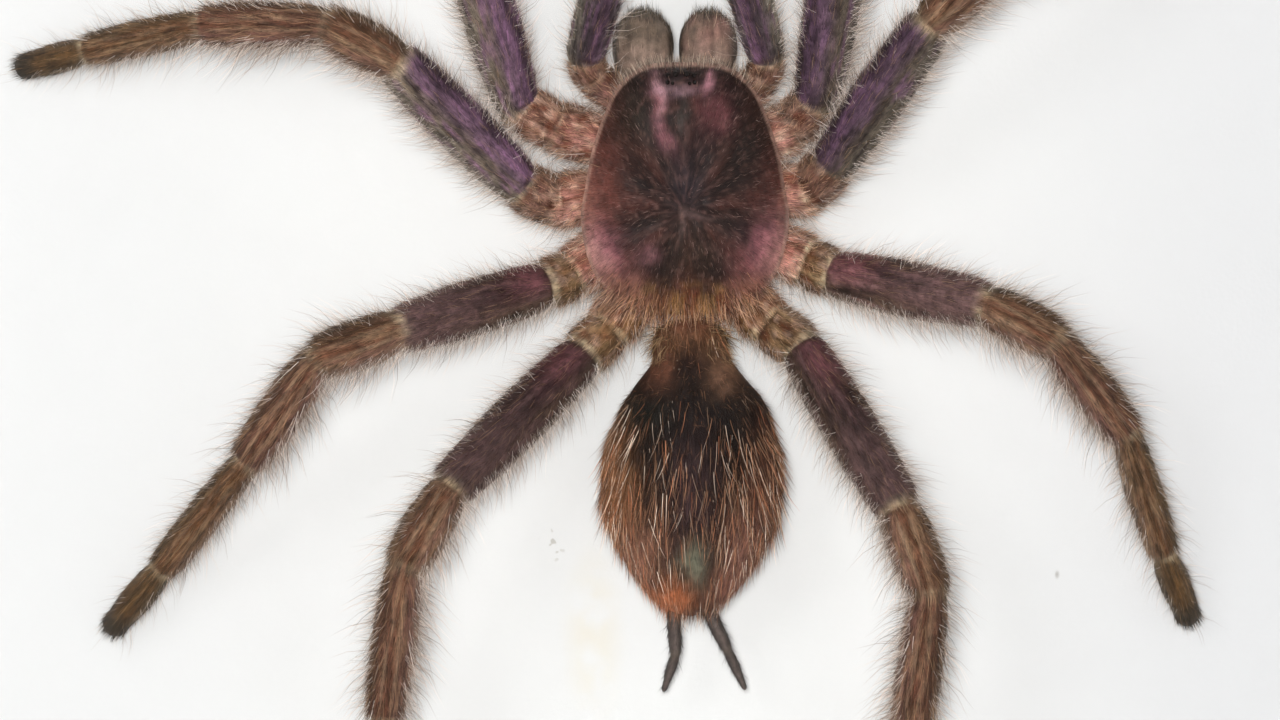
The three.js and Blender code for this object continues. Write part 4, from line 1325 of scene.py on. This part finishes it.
def eye_beads():
    material, sheet, shader = finish("eye_gloss", "0c0a0a")
    cloudy = cloud(sheet, place_in_object(sheet), 2500.0, 2.0)
    plug(shader.inputs["Base Color"], sheet.blend(cloudy, paint("080707"), paint("2a2220")))
    plug(shader.inputs["Roughness"], 0.12 + cloudy * 0.1)
    points, faces = [], []
    for across, along, radius in EYES:
        x = EYE_MOUND["across"] + across
        z = EYE_MOUND["along"] + along
        away = (across / EYE_MOUND["width"]) ** 2 + (along / EYE_MOUND["length"]) ** 2
        y = EYE_MOUND["height"] + EYE_MOUND["rise"] * math.sqrt(max(0.0, 1 - away))
        first = len(points)
        polar = np.linspace(0.06, 0.94, BEAD_RINGS) * np.pi
        for angle in polar:
            for k in range(BEAD_SIDES):
                spin = 2 * np.pi * k / BEAD_SIDES
                points.append((x + radius * np.sin(angle) * np.cos(spin),
                               z + radius * np.sin(angle) * np.sin(spin), y + radius * np.cos(angle)))
        for ring in range(BEAD_RINGS - 1):
            for k in range(BEAD_SIDES):
                a = first + ring * BEAD_SIDES + k
                b = first + ring * BEAD_SIDES + (k + 1) % BEAD_SIDES
                faces.append((a, a + BEAD_SIDES, b + BEAD_SIDES, b))
        faces.append(tuple(range(first, first + BEAD_SIDES)))
        last = first + (BEAD_RINGS - 1) * BEAD_SIDES
        faces.append(tuple(reversed(range(last, last + BEAD_SIDES))))
    mesh = bpy.data.meshes.new("eye_beads")
    mesh.from_pydata(on_board(points).tolist(), [], faces)
    mesh.polygons.foreach_set("use_smooth", [True] * len(mesh.polygons))
    mesh.materials.append(material)
    return put("eye_beads", mesh)


eyes = eye_beads()
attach(eyes, "root")
print("eyes", len(EYES))

# %% [markdown]
# ## Abdomen
# The dried abdomen is a soft bag, narrow where it joins the body and a little sunken. Under long hair that
# lies backwards, orange-brown and pale, it is nearly black at the front. A bald grey-green patch shows near
# the rear and an orange tuft above the spinnerets.

# %% Abdomen: skin
ABDOMEN_LINE = [
    (0.2, -13.2, 5.4), (0.6, -17.6, 6.0), (0.85, -24.0, 6.8), (0.65, -31.5, 7.1), (0.4, -43.4, 6.2),
]
ABDOMEN_WIDTHS = [
    (0.0, 1.5), (0.05, 1.8), (0.8, 3.1), (1.8, 3.7), (4.4, 3.9), (6.4, 5.5), (9.2, 7.6), (12.8, 8.9),
    (18.2, 9.3), (20.4, 8.8), (22.8, 7.6), (26.2, 5.7), (28.4, 3.8), (29.6, 2.4), (30.2, 0.4),
]
ABDOMEN_FLATNESS = 0.72
ABDOMEN_SIDES = 72
ABDOMEN_STEP = 0.4
ABDOMEN_LENGTH = 30.2
LAST_RINGS = (1.1, 0.75, 0.45, 0.2, 0.06)
BALD_SPOT = (0.9, -37.6, 1.2, 1.8)
# Patches of colour: across, along, half width, half length, colour, share
BELLY_PATCHES = [
    (0.4, -14.8, 5.0, 2.4, "80593e", 0.95),
    (0.4, -13.9, 2.0, 1.2, "7c4a38", 0.7),
    (-2.4, -18.2, 1.5, 2.2, "7c4e3a", 0.85),
    (3.9, -18.4, 1.8, 2.2, "946c54", 0.85),
    (0.7, -17.8, 1.3, 2.0, "2a1814", 0.95),
    (-4.6, -22.8, 2.8, 1.6, "1a1f1a", 0.8),
    (-8.5, -26.2, 0.9, 1.4, "1e1a18", 0.9),
    (3.4, -22.8, 4.0, 1.6, "1e1917", 0.7),
    (-7.6, -31.0, 2.2, 6.0, "b07850", 0.9),
    (8.2, -31.0, 2.0, 7.0, "6e4638", 0.7),
    (-5.0, -37.0, 2.8, 3.6, "b07c66", 0.85),
    (6.0, -36.6, 2.2, 4.4, "a07060", 0.8),
    (0.6, -31.0, 2.8, 6.0, "4a3638", 0.75),
    (0.9, -37.6, 1.1, 1.9, "8b8a74", 0.95),
    (-1.6, -41.4, 2.4, 1.6, "cf7a4e", 0.95),
    (4.2, -40.4, 1.8, 2.2, "a8705e", 0.7),
]


def smooth_table(table, at, window=1.1):
    """Widths read from a table with its corners rounded off."""
    marks, values = np.array(table).T
    shifts = np.linspace(-window, window, 9)
    weights = np.exp(-(shifts / window * 1.6) ** 2)
    wide = sum(w * np.interp(at + s, marks, values) for s, w in zip(shifts, weights))
    return wide / weights.sum()


def abdomen_skin():
    spots, marks = limb_line(ABDOMEN_LINE)
    distance = np.concatenate([np.arange(0.1, 28.9, ABDOMEN_STEP), ABDOMEN_LENGTH - np.array(LAST_RINGS)])
    distance = np.clip(distance, 0.05, marks[-1] - 0.02)
    width = smooth_table(ABDOMEN_WIDTHS, distance)
    width *= np.sqrt(np.clip((marks[-1] - distance) / 0.9, 0.02, 1))
    along, side, over, swollen = tube(spots, marks, distance, width, ABDOMEN_SIDES, ABDOMEN_FLATNESS)
    grid = swollen()
    grid = swollen(1 - 0.03 + 0.03 * hum(grid, 0.28, 81) + 0.012 * hum(grid, 0.9, 82))
    x, z, _ = from_board(grid)
    coat = np.ones(grid.shape) * np.array(linear("1c140f"))
    coat = tint(coat, soft(-z, 25.0, 37.0) * 0.5, "4a3426")
    drift_x = x + 0.8 * hum(grid, 0.4, 84) + 0.4 * hum(grid, 1.3, 85)
    drift_z = z + 0.8 * hum(grid, 0.4, 86) + 0.5 * hum(grid, 1.3, 87)
    for px, pz, wide, long, code, share in BELLY_PATCHES:
        away = ((drift_x - px) / wide) ** 2 + ((drift_z - pz) / long) ** 2
        coat = tint(coat, share * np.exp(-away), code)
    coat = tint(coat, soft(-over, 0.0, 0.6), "5a4034")
    coat = np.clip(coat * (1 + 0.35 * hum(grid, 0.9, 83) + 0.35 * hum(grid, 2.0, 88))[..., None], 0, 1)
    bald_x, bald_z, bald_width, bald_length = BALD_SPOT
    bald = np.exp(-((x - bald_x) / bald_width) ** 2 - ((z - bald_z) / bald_length) ** 2)
    pile = (0.5 + 0.5 * soft(over, -0.3, 0.2)) * (1 - 0.9 * bald)
    front = soft(-z, 19.0, 27.0)
    middle_share = hump(x, 0.5, 3.6) * (1 - soft(-z, 33.0, 39.0))
    long_hair = pile * (0.12 + 0.88 * front) * (1 - bald) * (1 - 0.6 * middle_share)
    edges = soft(np.abs(side), 0.7, 0.97)
    surface = np.gradient(grid, axis=0)
    surface /= np.maximum(np.linalg.norm(surface, axis=-1, keepdims=True), 1e-9)
    follows = (0.8 * soft(-z, 18.0, 22.0) * (1 - soft(-z, 40.0, 43.0)))[..., None]
    nap = along[:, None] * (1 - follows) + surface * follows
    lengths = 0.55 + 0.35 * front - 0.38 * soft(-z, 33.0, 40.0) + 0.5 * hump(z, -14.6, 2.0)
    return skin_from_rings("abdomen_skin", grid, {
        "coat": coat, "nap": nap, "pile": pile, "long_hair": long_hair,
        "fringe": edges * (0.3 + 0.7 * front),
        "fuzz": pile * (1 - 0.8 * soft(-z, 17.5, 24.0)),
        "collar": soft(np.abs(side), 0.35, 0.8) * (1 - soft(-z, 16.6, 18.6)),
        "reach": lengths,
    }, belly_skin)


print("abdomen patches", len(BELLY_PATCHES))

# %% Abdomen: hair
BELLY_LAYERS = [
    layer("pile", 11.0, 1.7, 0.024, 0.2, 0.22, clumps=0.6),
    layer("long_hair", 3.0, 3.5, 0.0115, 0.12, 0.15, 3, (0.75, "26140d", "d8a07a"),
          clumps=0.6, clump_size=320.0, bend=-0.14),
    layer("long_hair", 0.5, 3.6, 0.012, 0.13, 0.16, 3, (1.0, "8c4a34", "d89068"),
          clumps=0.6, clump_size=320.0, bend=-0.14),
    layer("long_hair", 0.9, 3.8, 0.011, 0.13, 0.16, 3, (1.0, "c8946c", "ffeedb"), pale_hair,
          clumps=0.6, clump_size=320.0, bend=-0.12),
    layer("fringe", 4.0, 1.9, 0.012, 0.2, 0.3, 2, (0.85, "a06a44", "dfc0a4"), pale_hair,
          clumps=0.4, bend=0.3),
    layer("fuzz", 9.0, 1.4, 0.022, 0.35, 0.6, 1, (0.5, "24140f", "c08a68"), clumps=0.8, bend=0.2),
    layer("collar", 9.0, 2.1, 0.016, 0.6, 0.45, 2, (0.85, "5e4028", "cfae84"), clumps=0.6, bend=0.3),
]
belly = abdomen_skin()
settle_coated(belly, "abdomen", "abdomen_hair", coat_tree("abdomen_coat", BELLY_LAYERS), 300)

# %% [markdown]
# ## Jaws and spinnerets
# The jaws are two blunt velvety lobes in front of the carapace, each with a curved black fang folded under
# it. The spinnerets are two thin grey feelers at the end of the abdomen. Both follow a line as the limbs do.

# %% Jaws
CHELICERAE = {"chelicera_left": (-4.2, 3.12), "chelicera_right": (2.3, 2.98)}
JAW_LINE = [(9.6, 4.7), (14.0, 4.7), (17.1, 3.4)]
JAW_WIDTHS = [(0.0, 0.65), (0.01, 0.7), (0.25, 0.92), (0.45, 1.0), (0.62, 1.0), (0.78, 0.88),
              (0.91, 0.62), (0.98, 0.3), (1.0, 0.12)]
JAW_FLATNESS = 1.05
JAW_SIDES, FANG_SIDES, JAW_STEP = 40, 16, 0.2
FANG_LINE = [(16.2, 2.8), (15.6, 1.2), (12.6, 0.75)]
FANG_WIDTHS = [(0.0, 0.3), (0.2, 0.75), (2.2, 0.6), (3.6, 0.34), (4.4, 0.04)]


def bent_body(name, line, widths, sides, step, flatness, material, groom):
    """A skin along a short line; groom gives its fields from the grid, the side and the upward part."""
    spots, marks = limb_line(line)
    distance = np.arange(0.05, marks[-1], step)
    width = smooth_table([(share * marks[-1], half) for share, half in widths], distance, 0.25)
    along, side, over, swollen = tube(spots, marks, distance, width, sides, flatness, 0.5)
    grid = swollen()
    fields = groom(grid, side, over, distance / marks[-1])
    fields["nap"] = np.broadcast_to(along[:, None], grid.shape)
    return skin_from_rings(name, grid, fields, material)


def jaw_groom(pinker, seed):
    def groom(grid, side, over, share):
        whole = np.ones_like(side)
        coat = np.ones(grid.shape) * np.array(linear("827262"))
        coat = tint(coat, pinker * (0.5 + 0.5 * hum(grid, 0.5, seed)), "a06a64")
        coat = tint(coat, 0.7 * soft(0.62 - share, 0.0, 0.2)[:, None] * whole, "aa8f80")
        coat = tint(coat, 0.8 * soft(share, 0.72, 0.95)[:, None] * whole, "4c4a42")
        # Painted shade: the jaw darkens towards its sides, where its rounded surface turns away from the
        # light
        coat = tint(coat, 0.85 * soft(np.abs(side), 0.72, 0.98), "35312a")
        unrolled = np.stack([side * 3 * MM, over * 3 * MM, whole * share[:, None] * MM], -1)
        strands = hum(unrolled, 1.8, seed + 2)
        coat = coat * (1 + 0.5 * strands + 0.45 * hum(grid, 1.3, seed + 1))[..., None]
        return {"coat": np.clip(coat, 0, 1), "pile": 0.5 + 0.5 * soft(over, -0.4, 0.1),
                "fringe": soft(share, 0.78, 0.95)[:, None] * whole,
                "flank": (1 - soft(share, 0.5, 0.72))[:, None] * soft(np.abs(side), 0.6, 0.95),
                "reach": np.full(side.shape, 0.8)}
    return groom


def fang_groom(grid, side, over, share):
    return {"coat": np.ones(grid.shape) * np.array(linear("1c100c"))}


fang_gloss, fang_sheet, fang_shader = finish("fang_gloss", "1c100c")
fang_tone = cloud(fang_sheet, place_in_object(fang_sheet), 900.0, 2.0)
plug(fang_shader.inputs["Base Color"], fang_sheet.blend(fang_tone, paint("120a08"), paint("3a1d14")))
plug(fang_shader.inputs["Roughness"], 0.18 + fang_tone * 0.15)
JAW_LAYERS = [
    layer("pile", 18.0, 1.0, 0.036, 0.3, 0.25, clumps=0.6),
    layer("pile", 5.0, 1.5, 0.022, 0.38, 0.3, 2, (0.6, "2f2a20", "d6c0a4"), bend=0.2),
    layer("fringe", 9.0, 1.9, 0.014, 0.45, 0.3, 2, (0.8, "35322c", "958c7c"), bend=0.2),
    layer("flank", 26.0, 1.2, 0.04, 0.58, 0.3, 1, (0.6, "5c5040", "a8957c")),
]
jaw_coat = coat_tree("jaw_coat", JAW_LAYERS)
for number, (name, (across, radius)) in enumerate(CHELICERAE.items()):
    line = [(across, along, height) for along, height in JAW_LINE]
    widths = [(share, part * (radius - PILE_DEPTH)) for share, part in JAW_WIDTHS]
    jaw = bent_body(f"{name}_skin", line, widths, JAW_SIDES, JAW_STEP, JAW_FLATNESS, jaw_skin,
                    jaw_groom(0.15 + 0.6 * number, 90 + 5 * number))
    fang_line = [(across, along, height) for along, height in FANG_LINE]
    fang_widths = [(at / FANG_WIDTHS[-1][0], half) for at, half in FANG_WIDTHS]
    fang = bent_body(f"{name}_fang", fang_line, fang_widths, FANG_SIDES, JAW_STEP, 1.0, fang_gloss,
                     fang_groom)
    hair = grow_hair(jaw, f"{name}_hair", jaw_coat, 400 + 20 * number)
    for piece in (jaw, fang, hair):
        settle(piece, "jaw", name)
print("jaws made")

# %% Spinnerets
SPINNERET_PARTS = ("base", "feeler")
SPINNERET_SIZES = {"base": (0.8, 0.7), "feeler": (0.66, 0.66)}
SPINNERETS = {
    "spinneret_left": [(-1.2, -41.6, 6.2), (-0.95, -46.9, 5.4), (-2.2, -50.8, 3.6)],
    "spinneret_right": [(1.9, -41.6, 6.2), (4.2, -46.4, 5.4), (6.1, -50.6, 3.6)],
}
SPINNERET_DEPTH = 0.12
SPINNERET_SIDES = 18


def spinneret_skin(name, joints, seed):
    spots, marks = limb_line(joints)
    tip = SPINNERET_SIZES["feeler"][0]
    cap = marks[-1] - tip * (1 - np.sin(np.linspace(0.05, 0.46, 5) * np.pi))
    distance = np.concatenate([np.arange(0.1, marks[-1] - tip, 0.25), cap])
    width, _, _ = limb_widths(distance, marks, SPINNERET_PARTS, SPINNERET_SIZES)
    taper = 1 - 0.35 * soft(distance / marks[-1], 0.6, 1.0)
    width = np.maximum(width * taper + PILE_DEPTH * (width > 0.1) - SPINNERET_DEPTH, 0.02)
    along, side, _, swollen = tube(spots, marks, distance, width, SPINNERET_SIDES, 1.0, 0.5)
    grid = swollen(1 + 0.08 * hum(swollen(), 1.2, seed))
    # Painted shade: each feeler is lighter along its middle and darker towards both sides, as a lit rounded
    # surface looks
    coat = across_colours(side, [(-1, "3a322e"), (0, "786a64"), (1, "443c38")])
    ring = hump(distance, marks[1], 0.4) * 0.4
    coat = tint(coat, ring[:, None] * np.ones_like(side), "8a7a6a")
    coat = np.clip(coat * (1 + 0.3 * hum(grid, 1.5, seed + 1))[..., None], 0, 1)
    fields = {"coat": coat, "nap": np.broadcast_to(along[:, None], grid.shape),
              "pile": np.ones(side.shape),
              "reach": (0.6 - 0.3 * soft(distance / marks[-1], 0.8, 1.0))[:, None] * np.ones_like(side)}
    return skin_from_rings(f"{name}_skin", grid, fields, leg_skin)


SPINNERET_LAYERS = [
    layer("pile", 16.0, 0.9, 0.035, 0.3, 0.25),
    layer("pile", 3.0, 1.8, 0.018, 0.4, 0.3, 2, bend=0.2),
]
spinneret_coat = coat_tree("spinneret_coat", SPINNERET_LAYERS)
for number, (name, joints) in enumerate(SPINNERETS.items()):
    skin = spinneret_skin(name, joints, 110 + number)
    settle_coated(skin, name, "spinneret", spinneret_coat, 500 + 20 * number)
print("spinnerets made")
